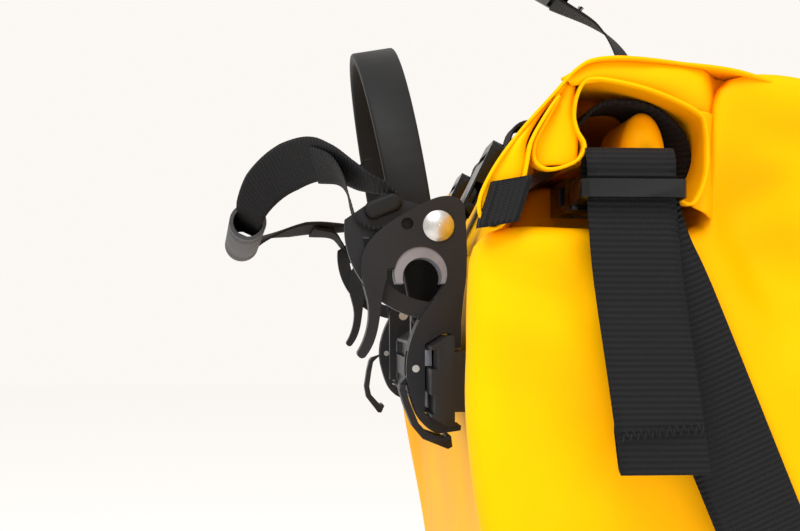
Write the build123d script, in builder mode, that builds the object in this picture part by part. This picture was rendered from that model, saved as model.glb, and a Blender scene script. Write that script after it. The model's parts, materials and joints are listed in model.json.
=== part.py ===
"""Roll-top rack pannier: a waterproof bag with a mounting rail, sliding rack hooks and a carry handle.

Frame: X along the bag's width, +Y towards the bicycle rack, +Z up.
The origin is the centre of the flat base, on the surface that the bag stands on. Millimetres.
"""

from build123d import *
from math import atan2, cos, degrees, hypot, radians, sin
import os

# --- bag body -----------------------------------------------------------------------------------
BASE_WIDTH = 230.0
TOP_WIDTH = 320.0
BASE_DEPTH = 140.0
BACK_Y = 95.5  # flat stretch of the back panel that carries the rail
BACK_FLAT_Z = 300.0  # the back panel leans below this height and is upright above it
SHOULDER_Z = 352.0
FRONT_Y = -72.5
FRONT_BEND_Z = 330.0
CROWN_Z = 415.0
NOTCH_Y = 36.0  # wall that the rolled mouth rests against
SHELF_Z = 373.0  # bag top under the rolled mouth
FABRIC = 1.6

# --- rolled mouth -------------------------------------------------------------------------------
RIDGE_Y = 71.0
RIDGE_Z = 419.0
FLAP_FOOT_Y = 95.0
FLAP_FOOT_Z = 371.0
ROLL_WALL = 3.0
ROLL_FLOOR_Z = 392.5
ROLL_NECK_HALF = 112.0

# --- mounting rail and hooks --------------------------------------------------------------------
RAIL_Z = 327.5
RAIL_HALF = 115.0
RAIL_FACE_Y = 109.8
RAIL_SCREW_R = 2.0
RAIL_SCREW_XS = (-100.0, -34.0, 34.0, 100.0)
HOOK_X = 90.0
PLATE = 3.0
PLATE_GAP = 7.0
RIVET_R = 2.5
RIVET_HEAD_R = 5.15
TUBE_R = 6.5  # rack tube that the grey insert is made for
BORE_R = 8.7
SPIN_CLEAR = 0.05
SIDE_CLEAR = 0.3

# --- carry handle -------------------------------------------------------------------------------
HANDLE_HALF = 72.0
HANDLE_BAND = 4.0
HANDLE_CROWN_Z = 456.0
HANDLE_WIDTH = 17.0
HANDLE_FOOT_WIDTH = 13.0
HANDLE_LEAN = 9.7
HANDLE_PIVOT = (RAIL_FACE_Y - 3.3, RAIL_Z + 21.4)
HANDLE_SCREW_R = 2.0

# --- webbing and buckles ------------------------------------------------------------------------
WEB = 1.6
END_WEB_WIDTH = 25.0
RACK_WEB_WIDTH = 20.0
RACK_STRAP_X = 49.0
BUCKLE_T = 9.0
PLUG_PRONG = 15.0
PLUG_BASE = 17.0
SOCKET_LENGTH = 30.0

# --- lower rail and anchor ----------------------------------------------------------------------
LOWER_RAIL_Z = 120.0
LOWER_RAIL_HALF = 60.0
LOWER_SCREW_XS = (-52.0, 52.0)
LOWER_NECK = (8.0, 4.0)
LOWER_HEAD = (15.0, 3.5)
ANCHOR_ARM = 52.0

LEFT_RIVET = (RAIL_FACE_Y - 4.1, RAIL_Z + 50.5)
BORE = (RAIL_FACE_Y + 1.7, RAIL_Z + 34.9)
INSERT_DEPTH = 3.6
TUBE = (BORE[0] - 0.5, BORE[1] + BORE_R - INSERT_DEPTH - TUBE_R)
PLATE_HOLE = (RAIL_FACE_Y + 6.2, RAIL_Z + 51.2)
PLATE_HOLE_R = 2.0
LATCH_IN = 25.2
LATCH_OUT = 31.0
LATCH_SWEEP_R = 31.6
CLAMP_PIVOT = (RAIL_FACE_Y + 3.4, RAIL_Z + 3.5)
CLAMP_PIN_R = 1.2
CLAMP_REST_RIGHT = 30.0

os.makedirs("parts", exist_ok=True)


def save(part, name):
    part.label = name
    export_step(part, f"parts/{name}.step")


def save_pair(part, name):
    """The left piece sits at -X; the right one is its mirror image."""
    save(part, f"{name}_left")
    save(part.mirror(Plane.YZ), f"{name}_right")


def save_group(part, name):
    """The left and right pieces together, as separate solids of one node."""
    with BuildPart() as group:
        add(part)
        add(part.mirror(Plane.YZ))
    save(group.part, name)


def prism(points, x_from, x_to):
    """A closed outline in the YZ plane, extruded from x_from to x_to."""
    with BuildPart() as body:
        with BuildSketch(Plane.YZ.offset(x_from)):
            with BuildLine():
                Polyline(*points, close=True)
            make_face()
        extrude(amount=x_to - x_from)
    return body.part


def disc(centre, radius, x_from, x_to):
    """A round bar along X with its centre at (y, z)."""
    with BuildPart() as body:
        with BuildSketch(Plane.YZ.offset(x_from)):
            with Locations(centre):
                Circle(radius)
        extrude(amount=x_to - x_from)
    return body.part


def ribbon_outline(points, thickness):
    """The outline of a band of even thickness whose inner edge follows the points."""
    outer = []
    for index, (y, z) in enumerate(points):
        before = points[max(index - 1, 0)]
        after = points[min(index + 1, len(points) - 1)]
        run = hypot(after[0] - before[0], after[1] - before[1])
        out_y = thickness * (after[1] - before[1]) / run
        out_z = -thickness * (after[0] - before[0]) / run
        outer.append((y + out_y, z + out_z))
    return list(points) + outer[::-1]


def back_y(z):
    """Y of the outer back panel at a height."""
    if z >= BACK_FLAT_Z:
        return BACK_Y
    return BASE_DEPTH / 2 + (BACK_Y - BASE_DEPTH / 2) * z / BACK_FLAT_Z


def half_width(z):
    """Half the bag's width at a height."""
    return BASE_WIDTH / 2 + (TOP_WIDTH - BASE_WIDTH) / 2 * min(z, SHOULDER_Z) / SHOULDER_Z


def on_hook(dy, dz):
    return (RAIL_FACE_Y + dy, RAIL_Z + dz)


# --- bag shell ----------------------------------------------------------------------------------
SIDE_OUTLINE = [
    (-BASE_DEPTH / 2, 0),
    (BASE_DEPTH / 2, 0),
    (BACK_Y, BACK_FLAT_Z),
    (BACK_Y, SHOULDER_Z),
    (BACK_Y - 7.5, SHOULDER_Z + 14),
    (BACK_Y - 20, SHELF_Z - 1),
    (NOTCH_Y, SHELF_Z),
    (NOTCH_Y, CROWN_Z - 8),
    (NOTCH_Y - 8, CROWN_Z - 1),
    (NOTCH_Y - 25, CROWN_Z),
    (-32, CROWN_Z - 11),
    (-60, CROWN_Z - 40),
    (FRONT_Y, FRONT_BEND_Z),
]
FRONT_OUTLINE = [
    (-BASE_WIDTH / 2, 0),
    (BASE_WIDTH / 2, 0),
    (TOP_WIDTH / 2, SHOULDER_Z),
    (TOP_WIDTH / 2 - 2, CROWN_Z),
    (-TOP_WIDTH / 2 + 2, CROWN_Z),
    (-TOP_WIDTH / 2, SHOULDER_Z),
]


def bag_form(inset):
    """The bag's outer form, or the same form a wall's thickness inside it or outside it."""
    with BuildPart() as form:
        with BuildSketch(Plane.YZ):
            with BuildLine():
                Polyline(*SIDE_OUTLINE, close=True)
            make_face()
            if inset:
                offset(amount=-inset, kind=Kind.INTERSECTION)
        extrude(amount=TOP_WIDTH, both=True)
        with BuildSketch(Plane.XZ):
            with BuildLine():
                Polyline(*FRONT_OUTLINE, close=True)
            make_face()
            if inset:
                offset(amount=-inset, kind=Kind.INTERSECTION)
        extrude(amount=TOP_WIDTH, both=True, mode=Mode.INTERSECT)
    return form.part


back_lean = atan2(BACK_Y - BASE_DEPTH / 2, BACK_FLAT_Z)
lower_plane = Plane(
    origin=(0, back_y(LOWER_RAIL_Z), LOWER_RAIL_Z),
    x_dir=(1, 0, 0),
    z_dir=(0, cos(back_lean), -sin(back_lean)),
)
with BuildPart() as bag_shell:
    add(bag_form(0))
    add(bag_form(FABRIC), mode=Mode.SUBTRACT)
    with Locations(*[(x, BACK_Y, RAIL_Z) for x in RAIL_SCREW_XS]):
        Cylinder(RAIL_SCREW_R, 4 * FABRIC, rotation=(90, 0, 0), mode=Mode.SUBTRACT)
    with Locations(*[lower_plane.location * Location((x, 0, 0)) for x in LOWER_SCREW_XS]):
        Cylinder(RAIL_SCREW_R, 4 * FABRIC, mode=Mode.SUBTRACT)
save(bag_shell.part, "bag_shell")

# --- stiffener board and inner pocket, inside the back panel ------------------------------------
BOARD = 2.5
BOARD_Y = FABRIC + 0.05
BOARD_LOW, BOARD_HIGH, BOARD_HALF = 30.0, 345.0, 105.0

board_line = [(back_y(z) - BOARD_Y, z) for z in (BOARD_HIGH, BACK_FLAT_Z, BOARD_LOW)]
with BuildPart() as back_stiffener:
    add(prism(ribbon_outline(board_line, BOARD), -BOARD_HALF, BOARD_HALF))
    with Locations(*[(x, BACK_Y, RAIL_Z) for x in RAIL_SCREW_XS]):
        Cylinder(RAIL_SCREW_R, 60, rotation=(90, 0, 0), mode=Mode.SUBTRACT)
    with Locations(*[lower_plane.location * Location((x, 0, -FABRIC - BOARD)) for x in LOWER_SCREW_XS]):
        Cylinder(RAIL_SCREW_R, 4 * BOARD, mode=Mode.SUBTRACT)
save(back_stiffener.part, "back_stiffener")

POCKET_HIGH, POCKET_LOW, POCKET_T, POCKET_HALF = 300.0, 160.0, 5.0, 85.0
pocket_line = [(back_y(z) - BOARD_Y - BOARD - 0.3, z) for z in (POCKET_HIGH, POCKET_LOW)]
with BuildPart() as inner_pocket:
    add(prism(ribbon_outline(pocket_line, POCKET_T), -POCKET_HALF, POCKET_HALF))
save(inner_pocket.part, "inner_pocket")

# --- bottom end guards and reflector patches ----------------------------------------------------
GUARD, GUARD_HIGH, GUARD_REACH = 1.5, 26.0, 30.0

with BuildPart() as base_guard:
    add(bag_form(-GUARD))
    with Locations((-BASE_WIDTH / 2, 0, GUARD_HIGH / 2)):
        Box(2 * GUARD_REACH, 2 * BASE_DEPTH, GUARD_HIGH, mode=Mode.INTERSECT)
    add(bag_form(0), mode=Mode.SUBTRACT)
save_group(base_guard.part, "base_guards")

REFLECTOR = (64.0, 34.0, 0.6)
REFLECTOR_Z = 250.0
front_lean = degrees(atan2(-FRONT_Y - BASE_DEPTH / 2, FRONT_BEND_Z))
front_y = -BASE_DEPTH / 2 + (FRONT_Y + BASE_DEPTH / 2) * REFLECTOR_Z / FRONT_BEND_Z
front_plane = Plane(
    origin=(0, front_y, REFLECTOR_Z),
    x_dir=(1, 0, 0),
    z_dir=(0, -cos(radians(front_lean)), -sin(radians(front_lean))),
)
with BuildPart() as front_reflector:
    with BuildSketch(front_plane):
        RectangleRounded(REFLECTOR[0], REFLECTOR[1], 6)
    extrude(amount=REFLECTOR[2])
save(front_reflector.part, "front_reflector")

# --- rolled mouth -------------------------------------------------------------------------------
ROLL_HALF = TOP_WIDTH / 2
ring = [
    (NOTCH_Y, CROWN_Z - 8),
    (NOTCH_Y + 4, CROWN_Z - 1),
    (RIDGE_Y - 7, RIDGE_Z),
    (RIDGE_Y, RIDGE_Z - 2),
    (RIDGE_Y + 3, RIDGE_Z - 21),
    (RIDGE_Y - 8, ROLL_FLOOR_Z),
    (NOTCH_Y, ROLL_FLOOR_Z),
]
flap = ribbon_outline([(FLAP_FOOT_Y, FLAP_FOOT_Z), (RIDGE_Y + 1.5, RIDGE_Z - 2)], ROLL_WALL)
with BuildPart() as roll_closure:
    with BuildSketch(Plane.YZ.offset(-ROLL_HALF)):
        with BuildLine():
            Polyline(*ring, close=True)
        make_face()
        offset(amount=-ROLL_WALL, kind=Kind.INTERSECTION, mode=Mode.SUBTRACT)
    extrude(amount=2 * ROLL_HALF)
    add(prism([(y - ROLL_WALL, z) for y, z in flap], -ROLL_HALF, ROLL_HALF))
    with Locations((0, (NOTCH_Y + RIDGE_Y) / 2, (SHELF_Z + ROLL_FLOOR_Z) / 2)):
        Box(2 * ROLL_NECK_HALF, 14, ROLL_FLOOR_Z - SHELF_Z + 0.01)
bag_below_roll = prism(SIDE_OUTLINE, -TOP_WIDTH, TOP_WIDTH)
with BuildPart() as rolled_mouth:
    add(roll_closure.part)
    add(bag_below_roll, mode=Mode.SUBTRACT)
save(rolled_mouth.part, "roll_closure")

PATCH, PATCH_REACH, PATCH_HIGH = 1.0, 24.0, 16.0
slope = (RIDGE_Y + 1.5 - FLAP_FOOT_Y, RIDGE_Z - 2 - FLAP_FOOT_Z)
slope_run = hypot(*slope)
slope_up = (slope[0] / slope_run, slope[1] / slope_run)
slope_out = (slope_up[1], -slope_up[0])


def on_slope(along, out):
    """A point at a distance up the flap from its foot, and out from its rack-side face."""
    y = FLAP_FOOT_Y + slope_up[0] * along + slope_out[0] * out
    z = FLAP_FOOT_Z + slope_up[1] * along + slope_out[1] * out
    return (y, z)


def slope_box(along_from, along_to, out_from, out_to, x_from, x_to):
    corners = [
        on_slope(along_from, out_from),
        on_slope(along_to, out_from),
        on_slope(along_to, out_to),
        on_slope(along_from, out_to),
    ]
    return prism(corners, x_from, x_to)


FLAP_OUT = max(slope_out[0] * (y - FLAP_FOOT_Y) + slope_out[1] * (z - FLAP_FOOT_Z) for y, z in
               [(y - ROLL_WALL, z) for y, z in flap])
save_group(
    slope_box(2, 2 + PATCH_HIGH, FLAP_OUT, FLAP_OUT + PATCH, -ROLL_HALF, -ROLL_HALF + PATCH_REACH),
    "hem_patches",
)

# --- mounting rail ------------------------------------------------------------------------------
GROOVE_LOW, GROOVE_HIGH, GROOVE = 4.0, 10.0, 2.3
HEAD_BACK = -7.4
NECK_HALF = 9.3
rail_outline = [
    on_hook(0, 11.1),
    on_hook(-5.4, 14.5),
    on_hook(HEAD_BACK, 14.5),
    on_hook(HEAD_BACK, NECK_HALF),
    (BACK_Y, RAIL_Z + NECK_HALF),
    (BACK_Y, RAIL_Z - NECK_HALF),
    on_hook(HEAD_BACK, -NECK_HALF),
    on_hook(HEAD_BACK, -13.7),
    on_hook(-5.4, -13.7),
    on_hook(0, -11.0),
    on_hook(0, -GROOVE_HIGH),
    on_hook(-GROOVE / 2, -GROOVE_HIGH),
    on_hook(-GROOVE / 2, -GROOVE_LOW),
    on_hook(0, -GROOVE_LOW),
    on_hook(0, GROOVE_LOW),
    on_hook(-GROOVE, GROOVE_LOW),
    on_hook(-GROOVE, GROOVE_HIGH),
    on_hook(0, GROOVE_HIGH),
]
RAIL_THREAD = 10.0
with BuildPart() as top_rail:
    add(prism(rail_outline, -RAIL_HALF, RAIL_HALF))
    with Locations(*[(x, BACK_Y + RAIL_THREAD / 2, RAIL_Z) for x in RAIL_SCREW_XS]):
        Cylinder(RAIL_SCREW_R, RAIL_THREAD, rotation=(90, 0, 0), mode=Mode.SUBTRACT)
save(top_rail.part, "top_rail")

WASHER_R, WASHER_T, SCREW_HEAD_R, SCREW_HEAD_T = 6.0, 1.0, 4.0, 2.2
WASHER_Y = BACK_Y - BOARD_Y - BOARD - WASHER_T
with BuildPart() as rail_washers:
    with Locations(*[(x, WASHER_Y + WASHER_T / 2, RAIL_Z) for x in RAIL_SCREW_XS]):
        Cylinder(WASHER_R, WASHER_T, rotation=(90, 0, 0))
        Cylinder(RAIL_SCREW_R, WASHER_T, rotation=(90, 0, 0), mode=Mode.SUBTRACT)
save(rail_washers.part, "rail_washers")

with BuildPart() as rail_screws:
    shank = BACK_Y + RAIL_THREAD - WASHER_Y
    with Locations(*[(x, WASHER_Y + shank / 2, RAIL_Z) for x in RAIL_SCREW_XS]):
        Cylinder(RAIL_SCREW_R, shank, rotation=(90, 0, 0))
    with Locations(*[(x, WASHER_Y - SCREW_HEAD_T / 2, RAIL_Z) for x in RAIL_SCREW_XS]):
        Cylinder(SCREW_HEAD_R, SCREW_HEAD_T, rotation=(90, 0, 0))
save(rail_screws.part, "rail_screws")

# --- rack hook: two plates, a core between them, insert, rivet ----------------------------------
X_OUT = -HOOK_X - PLATE_GAP / 2 - PLATE
X_OUT_IN = -HOOK_X - PLATE_GAP / 2
X_IN_OUT = -HOOK_X + PLATE_GAP / 2
X_IN = -HOOK_X + PLATE_GAP / 2 + PLATE


BORE_FROM, BORE_TO = 11.5, 200.0


def bore_point(angle):
    return (BORE[0] + BORE_R * cos(radians(angle)), BORE[1] + BORE_R * sin(radians(angle)))


def hook_wire():
    """The plate's outline: crown, rack-tube bore, hanging finger, spine and the claw on the rail."""
    with BuildLine() as wire:
        crown = Spline(
            on_hook(-12.9, 56.0), on_hook(-10.9, 59.6), on_hook(-6.8, 60.5), on_hook(1.9, 57.5),
            on_hook(13.5, 50.5), on_hook(20.5, 42.2), on_hook(20.9, 32.5), on_hook(18.9, 24.0),
            on_hook(19.4, 16.5), on_hook(22.5, 8.8),
        )
        tip = ThreePointArc(crown @ 1, on_hook(21.6, 7.0), on_hook(19.9, 7.4))
        finger = Spline(
            tip @ 1, on_hook(17.2, 12.0), on_hook(15.2, 20.5), on_hook(13.9, 29.8), on_hook(12.9, 33.2)
        )
        step = Polyline(finger @ 1, (finger @ 1 + (0, 3.4)), bore_point(BORE_FROM))
        bore = ThreePointArc(step @ 1, bore_point(90), bore_point(BORE_TO))
        spine = Spline(
            bore @ 1, on_hook(-3.8, 27.4), on_hook(0.2, 22.5), on_hook(4.5, 14.2), on_hook(6.5, 2.5),
            on_hook(4.5, -7.5), on_hook(1.9, -13.4), on_hook(-4.1, -17.8),
        )
        Polyline(
            spine @ 1, on_hook(-11.3, -16.7), on_hook(-11.5, -15.2), on_hook(-5.8, -14.4),
            on_hook(0.4, -11.4), on_hook(0.4, 11.4), on_hook(-5.3, 15.0), on_hook(-8.1, 15.0),
            on_hook(-8.1, 10.2), on_hook(-11.6, 10.2), on_hook(-11.6, 18.5),
            on_hook(-12.3, 26.2), on_hook(-13.4, 34.2), on_hook(-13.6, 42.0),
            on_hook(-13.3, 50.2), crown @ 0,
        )
    return wire.line


def hook_plate(x_from, x_to):
    with BuildPart() as plate:
        with BuildSketch(Plane.YZ.offset(x_from)):
            with BuildLine():
                add(hook_wire())
            make_face()
            with Locations(LEFT_RIVET):
                Circle(RIVET_R, mode=Mode.SUBTRACT)
            with Locations(PLATE_HOLE):
                Circle(PLATE_HOLE_R, mode=Mode.SUBTRACT)
            with Locations(CLAMP_PIVOT):
                Circle(CLAMP_PIN_R, mode=Mode.SUBTRACT)
        extrude(amount=x_to - x_from)
    return plate.part


def around_rivet(radius, angle):
    return (LEFT_RIVET[0] + radius * cos(radians(angle)), LEFT_RIVET[1] + radius * sin(radians(angle)))


HUB_R = 7.4
LATCH_TIP_ANGLE = -87.0

with BuildPart() as hook_core:
    with BuildSketch(Plane.YZ.offset(X_OUT_IN)):
        with BuildLine():
            add(hook_wire())
        make_face()
        with BuildLine():
            sector = CenterArc(LEFT_RIVET, LATCH_SWEEP_R, LATCH_TIP_ANGLE - 2, 92 - LATCH_TIP_ANGLE)
            Polyline(sector @ 1, LEFT_RIVET, sector @ 0)
        make_face(mode=Mode.SUBTRACT)
        with Locations(LEFT_RIVET):
            Circle(HUB_R + 0.5, mode=Mode.SUBTRACT)
        with Locations(CLAMP_PIVOT):
            Circle(6.2, mode=Mode.SUBTRACT)
    extrude(amount=PLATE_GAP)

with BuildPart() as tube_insert:
    with BuildSketch(Plane.YZ.offset(X_OUT + 0.4)):
        with Locations(BORE):
            Circle(BORE_R)
        with Locations(TUBE):
            Circle(TUBE_R, mode=Mode.SUBTRACT)
        with Locations((BORE[0], TUBE[1] - 14)):
            Rectangle(40, 24, mode=Mode.SUBTRACT)
    extrude(amount=X_IN - X_OUT - 0.8)

RIVET_DOME = 2.4
RIVET_RIM = 0.5
dome_rise = RIVET_DOME - RIVET_RIM
dome_r = (RIVET_HEAD_R**2 + dome_rise**2) / (2 * dome_rise)
dome_mid = RIVET_HEAD_R / 2
dome_sag = dome_r - (dome_r**2 - dome_mid**2) ** 0.5
with BuildPart() as hook_rivet:
    with BuildSketch(Plane(origin=(0, *LEFT_RIVET), x_dir=(1, 0, 0), z_dir=(0, -1, 0))):
        with BuildLine():
            near_dome = ThreePointArc(
                (X_OUT - RIVET_DOME, 0),
                (X_OUT - RIVET_DOME + dome_sag, dome_mid),
                (X_OUT - RIVET_RIM, RIVET_HEAD_R),
            )
            far_dome = ThreePointArc(
                (X_IN + RIVET_RIM, RIVET_HEAD_R),
                (X_IN + RIVET_DOME - dome_sag, dome_mid),
                (X_IN + RIVET_DOME, 0),
            )
            Polyline(
                near_dome @ 1, (X_OUT, RIVET_HEAD_R), (X_OUT, RIVET_R), (X_IN, RIVET_R), (X_IN, RIVET_HEAD_R),
                far_dome @ 0,
            )
            Line(far_dome @ 1, near_dome @ 0)
        make_face()
    revolve(axis=Axis((0, *LEFT_RIVET), (1, 0, 0)))

with BuildPart() as clamp_pin:
    add(disc(CLAMP_PIVOT, CLAMP_PIN_R, X_OUT, X_IN))

with BuildPart() as clamp_pad:
    pad = [on_hook(-GROOVE + 0.5, GROOVE_LOW + 0.4), on_hook(0.4, GROOVE_LOW + 0.4)]
    pad += [on_hook(0.4, GROOVE_HIGH - 0.4), on_hook(-GROOVE + 0.5, GROOVE_HIGH - 0.4)]
    add(prism(pad, X_OUT, X_IN))

save_pair(hook_plate(X_OUT, X_OUT_IN), "hook_outer_plate")
save_pair(hook_plate(X_IN_OUT, X_IN), "hook_inner_plate")
save_pair(hook_core.part, "hook_core")
save_pair(tube_insert.part, "tube_insert")
save_pair(hook_rivet.part, "hook_rivet")
save_pair(clamp_pin.part, "clamp_pin")
save_pair(clamp_pad.part, "clamp_pad")

# --- latch: a sickle that closes the hook's mouth, turning on the rivet between the plates -------
KNOB = (LEFT_RIVET[0] + 18.1, LEFT_RIVET[1] + 6.7)
KNOB_LONG, KNOB_T, KNOB_TILT = 13.0, 6.3, -22.0
SPRING_R, SPRING_WIRE, SPRING_TURNS = 4.3, 0.7, 3
SPRING_POCKET = SPRING_TURNS * SPRING_WIRE + 0.4
LATCH_X = (X_OUT_IN + SIDE_CLEAR, X_IN_OUT - SIDE_CLEAR)

with BuildPart() as latch_lever:
    with BuildSketch(Plane.YZ.offset(LATCH_X[0])):
        with Locations(LEFT_RIVET):
            Circle(HUB_R)
        with BuildLine():
            inner = CenterArc(LEFT_RIVET, LATCH_IN, LATCH_TIP_ANGLE, -8 - LATCH_TIP_ANGLE)
            outer = CenterArc(LEFT_RIVET, LATCH_OUT, LATCH_TIP_ANGLE, 4 - LATCH_TIP_ANGLE)
            Line(inner @ 0, outer @ 0)
            Polyline(
                inner @ 1, around_rivet(7.0, -40), around_rivet(7.0, 70), around_rivet(21.5, 30), outer @ 1
            )
        make_face()
        with Locations(LEFT_RIVET):
            Circle(RIVET_R + SPIN_CLEAR, mode=Mode.SUBTRACT)
    extrude(amount=LATCH_X[1] - LATCH_X[0])
    add(disc(LEFT_RIVET, SPRING_R + 1.0, LATCH_X[0], LATCH_X[0] + SPRING_POCKET), mode=Mode.SUBTRACT)

with BuildPart() as latch_knob:
    with BuildSketch(Plane.YZ.offset(X_OUT)):
        with Locations(Location((KNOB[0], KNOB[1], 0), (0, 0, KNOB_TILT))):
            SlotOverall(KNOB_LONG, KNOB_T)
    extrude(amount=X_IN - X_OUT)
    fillet(latch_knob.edges().group_by(Axis.X)[0] + latch_knob.edges().group_by(Axis.X)[-1], 1.6)
    add(latch_lever.part, mode=Mode.SUBTRACT)

with BuildPart() as latch_spring:
    for turn in range(SPRING_TURNS):
        ring_x = LATCH_X[0] + 0.2 + SPRING_WIRE * (turn + 0.5)
        with Locations(Location((ring_x, *LEFT_RIVET), (0, 90, 0))):
            Torus(SPRING_R, SPRING_WIRE / 2 + 0.02)

save_pair(latch_lever.part, "latch_lever")
save_pair(latch_knob.part, "latch_knob")
save_pair(latch_spring.part, "latch_spring")

# --- clamp lever at the foot of each hook --------------------------------------------------------
with BuildPart() as clamp_lever:
    band = [
        on_hook(6.9, -1.8), on_hook(6.7, -3.6), on_hook(5.2, -7.9), on_hook(2.6, -14.2), on_hook(-0.2, -17.3),
        on_hook(-4.2, -18.6), on_hook(-6.4, -19.2), on_hook(-6.8, -18.4), on_hook(-8.2, -18.6),
        on_hook(-8.6, -22.0), on_hook(-7.2, -22.8), on_hook(-3.6, -21.4),
        on_hook(1.2, -19.4), on_hook(4.4, -15.6),
        on_hook(7.2, -8.6), on_hook(8.7, -3.6), on_hook(8.5, -1.8),
    ]
    add(prism(band, X_OUT, X_IN))
    neck = [
        on_hook(3.4, 1.2), on_hook(5.2, 1.9), on_hook(8.5, -1.8), on_hook(8.7, -3.6), on_hook(6.8, -3.4),
        on_hook(5.6, 0.4),
    ]
    add(prism(neck, *LATCH_X))
    add(disc(CLAMP_PIVOT, 2.4, *LATCH_X))
    add(disc(CLAMP_PIVOT, CLAMP_PIN_R + SPIN_CLEAR, X_OUT, X_IN), mode=Mode.SUBTRACT)
save(clamp_lever.part, "clamp_lever_left")
clamp_axis = Axis((0, *CLAMP_PIVOT), (1, 0, 0))
save(clamp_lever.part.mirror(Plane.YZ).rotate(clamp_axis, CLAMP_REST_RIGHT), "clamp_lever_right")

# --- carry handle -------------------------------------------------------------------------------
lean = radians(HANDLE_LEAN)
handle_plane = Plane(
    origin=(0, *HANDLE_PIVOT),
    x_dir=(1, 0, 0),
    z_dir=(0, -cos(lean), sin(lean)),
)
HANDLE_RISE = (HANDLE_CROWN_Z - HANDLE_PIVOT[1]) / cos(lean)
ARCH_R = HANDLE_HALF + HANDLE_BAND / 2
ARCH_SPRING = HANDLE_RISE - ARCH_R
with BuildPart() as handle:
    with BuildSketch(handle_plane):
        with Locations((0, ARCH_SPRING)):
            Circle(ARCH_R)
            Circle(ARCH_R - HANDLE_BAND, mode=Mode.SUBTRACT)
            with Locations((0, -ARCH_R)):
                Rectangle(3 * ARCH_R, 2 * ARCH_R, mode=Mode.SUBTRACT)
        for side in (-1, 1):
            with Locations((side * HANDLE_HALF, ARCH_SPRING / 2 - HANDLE_FOOT_WIDTH / 4)):
                Rectangle(HANDLE_BAND, ARCH_SPRING + HANDLE_FOOT_WIDTH / 2)
    extrude(amount=HANDLE_WIDTH, both=True)
    with BuildSketch(Plane.YZ):
        with Locations(HANDLE_PIVOT):
            Circle(HANDLE_FOOT_WIDTH / 2)
        with BuildLine():
            up = (sin(lean), cos(lean))
            across = (cos(lean), -sin(lean))
            feet = [(s * HANDLE_FOOT_WIDTH / 2, 0) for s in (-1, 1)]
            top = [(s * HANDLE_WIDTH / 2, HANDLE_RISE * 1.1) for s in (1, -1)]
            Polyline(
                *[
                    (HANDLE_PIVOT[0] + across[0] * a + up[0] * b, HANDLE_PIVOT[1] + across[1] * a + up[1] * b)
                    for a, b in feet + top
                ],
                close=True,
            )
        make_face()
    extrude(amount=2 * HANDLE_HALF, both=True, mode=Mode.INTERSECT)
    with Locations(Location((0, *HANDLE_PIVOT), (0, 90, 0))):
        Cylinder(HANDLE_SCREW_R + SPIN_CLEAR, 4 * HANDLE_HALF, mode=Mode.SUBTRACT)
save(handle.part, "carry_handle")

LUG = (-HANDLE_HALF + HANDLE_BAND / 2 + 0.3, -HANDLE_HALF + HANDLE_BAND / 2 + 6.3)
with BuildPart() as handle_bracket:
    saddle = [
        on_hook(0, -8), on_hook(2.8, -8), on_hook(3.0, 21.4), on_hook(-9.6, 21.4), on_hook(-9.6, 14.5),
        on_hook(-5.4, 14.5), on_hook(0, 11.1),
    ]
    add(prism(saddle, *LUG))
    add(disc(HANDLE_PIVOT, HANDLE_FOOT_WIDTH / 2 - 0.2, *LUG))
    add(disc(HANDLE_PIVOT, HANDLE_SCREW_R, *LUG), mode=Mode.SUBTRACT)
save_group(handle_bracket.part, "handle_brackets")

HANDLE_HEAD_T = 2.4
handle_face = -HANDLE_HALF - HANDLE_BAND / 2
with BuildPart() as handle_screws:
    add(disc(HANDLE_PIVOT, HANDLE_SCREW_R, handle_face - 0.3, LUG[1]))
    add(disc(HANDLE_PIVOT, 3.8, handle_face - 0.3 - HANDLE_HEAD_T, handle_face - 0.3))
save_group(handle_screws.part, "handle_screws")

# --- latch pull: webbing from each latch to a grip tube ------------------------------------------
GRIP_R, GRIP_BORE_R, GRIP_LENGTH = 7.0, 5.6, 55.0
GRIP_NEAR = (-35.0, 172.0, 384.0)
GRIP_AXIS = Vector(55.0, 6.0, -5.5).normalized()
grip_plane = Plane(origin=GRIP_NEAR, x_dir=(0, 1, 0), z_dir=GRIP_AXIS)
PULL_WIDTH, PULL_T = 18.0, 2.4
TONGUE = (8.0, 2.6)

with BuildPart() as pull_grip:
    with BuildSketch(grip_plane):
        Circle(GRIP_R)
        Circle(GRIP_BORE_R, mode=Mode.SUBTRACT)
    extrude(amount=GRIP_LENGTH)
    with BuildSketch(*[grip_plane.offset(d) for d in (5.0, 8.5, GRIP_LENGTH - 9.3, GRIP_LENGTH - 5.8)]):
        Circle(GRIP_R)
        Circle(GRIP_R - 0.5, mode=Mode.SUBTRACT)
    extrude(amount=0.8, mode=Mode.SUBTRACT)
save(pull_grip.part, "pull_grip")


BAND_SHORT = 10.0
grip_far = Vector(GRIP_NEAR) + GRIP_AXIS * GRIP_LENGTH


def arched_band(knob, mouth, rise):
    run = Vector(mouth[0] - knob[0], mouth[1] - knob[1], 0)
    length = run.length - BAND_SHORT
    band_plane = Plane(origin=(knob[0], knob[1], 0), x_dir=run, z_dir=run.cross(Vector(0, 0, 1)))
    shape = [(0, knob[2]), (length * 0.28, knob[2] + rise * 0.75)]
    shape += [(length * 0.62, knob[2] + rise), (length, mouth[2] - PULL_T / 2)]
    with BuildPart() as band_part:
        with BuildSketch(band_plane):
            with BuildLine():
                lower = Spline(*shape)
                upper = Spline(*[(a, b + PULL_T) for a, b in shape])
                Line(lower @ 0, upper @ 0)
                Line(lower @ 1, upper @ 1)
            make_face()
        extrude(amount=PULL_WIDTH / 2, both=True)
    return band_part.part


def tongue(lift, start, length):
    with BuildPart() as tongue_part:
        with BuildSketch(grip_plane.offset(start)):
            with Locations((0, lift)):
                Rectangle(*TONGUE)
        extrude(amount=length)
    return tongue_part.part


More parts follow.
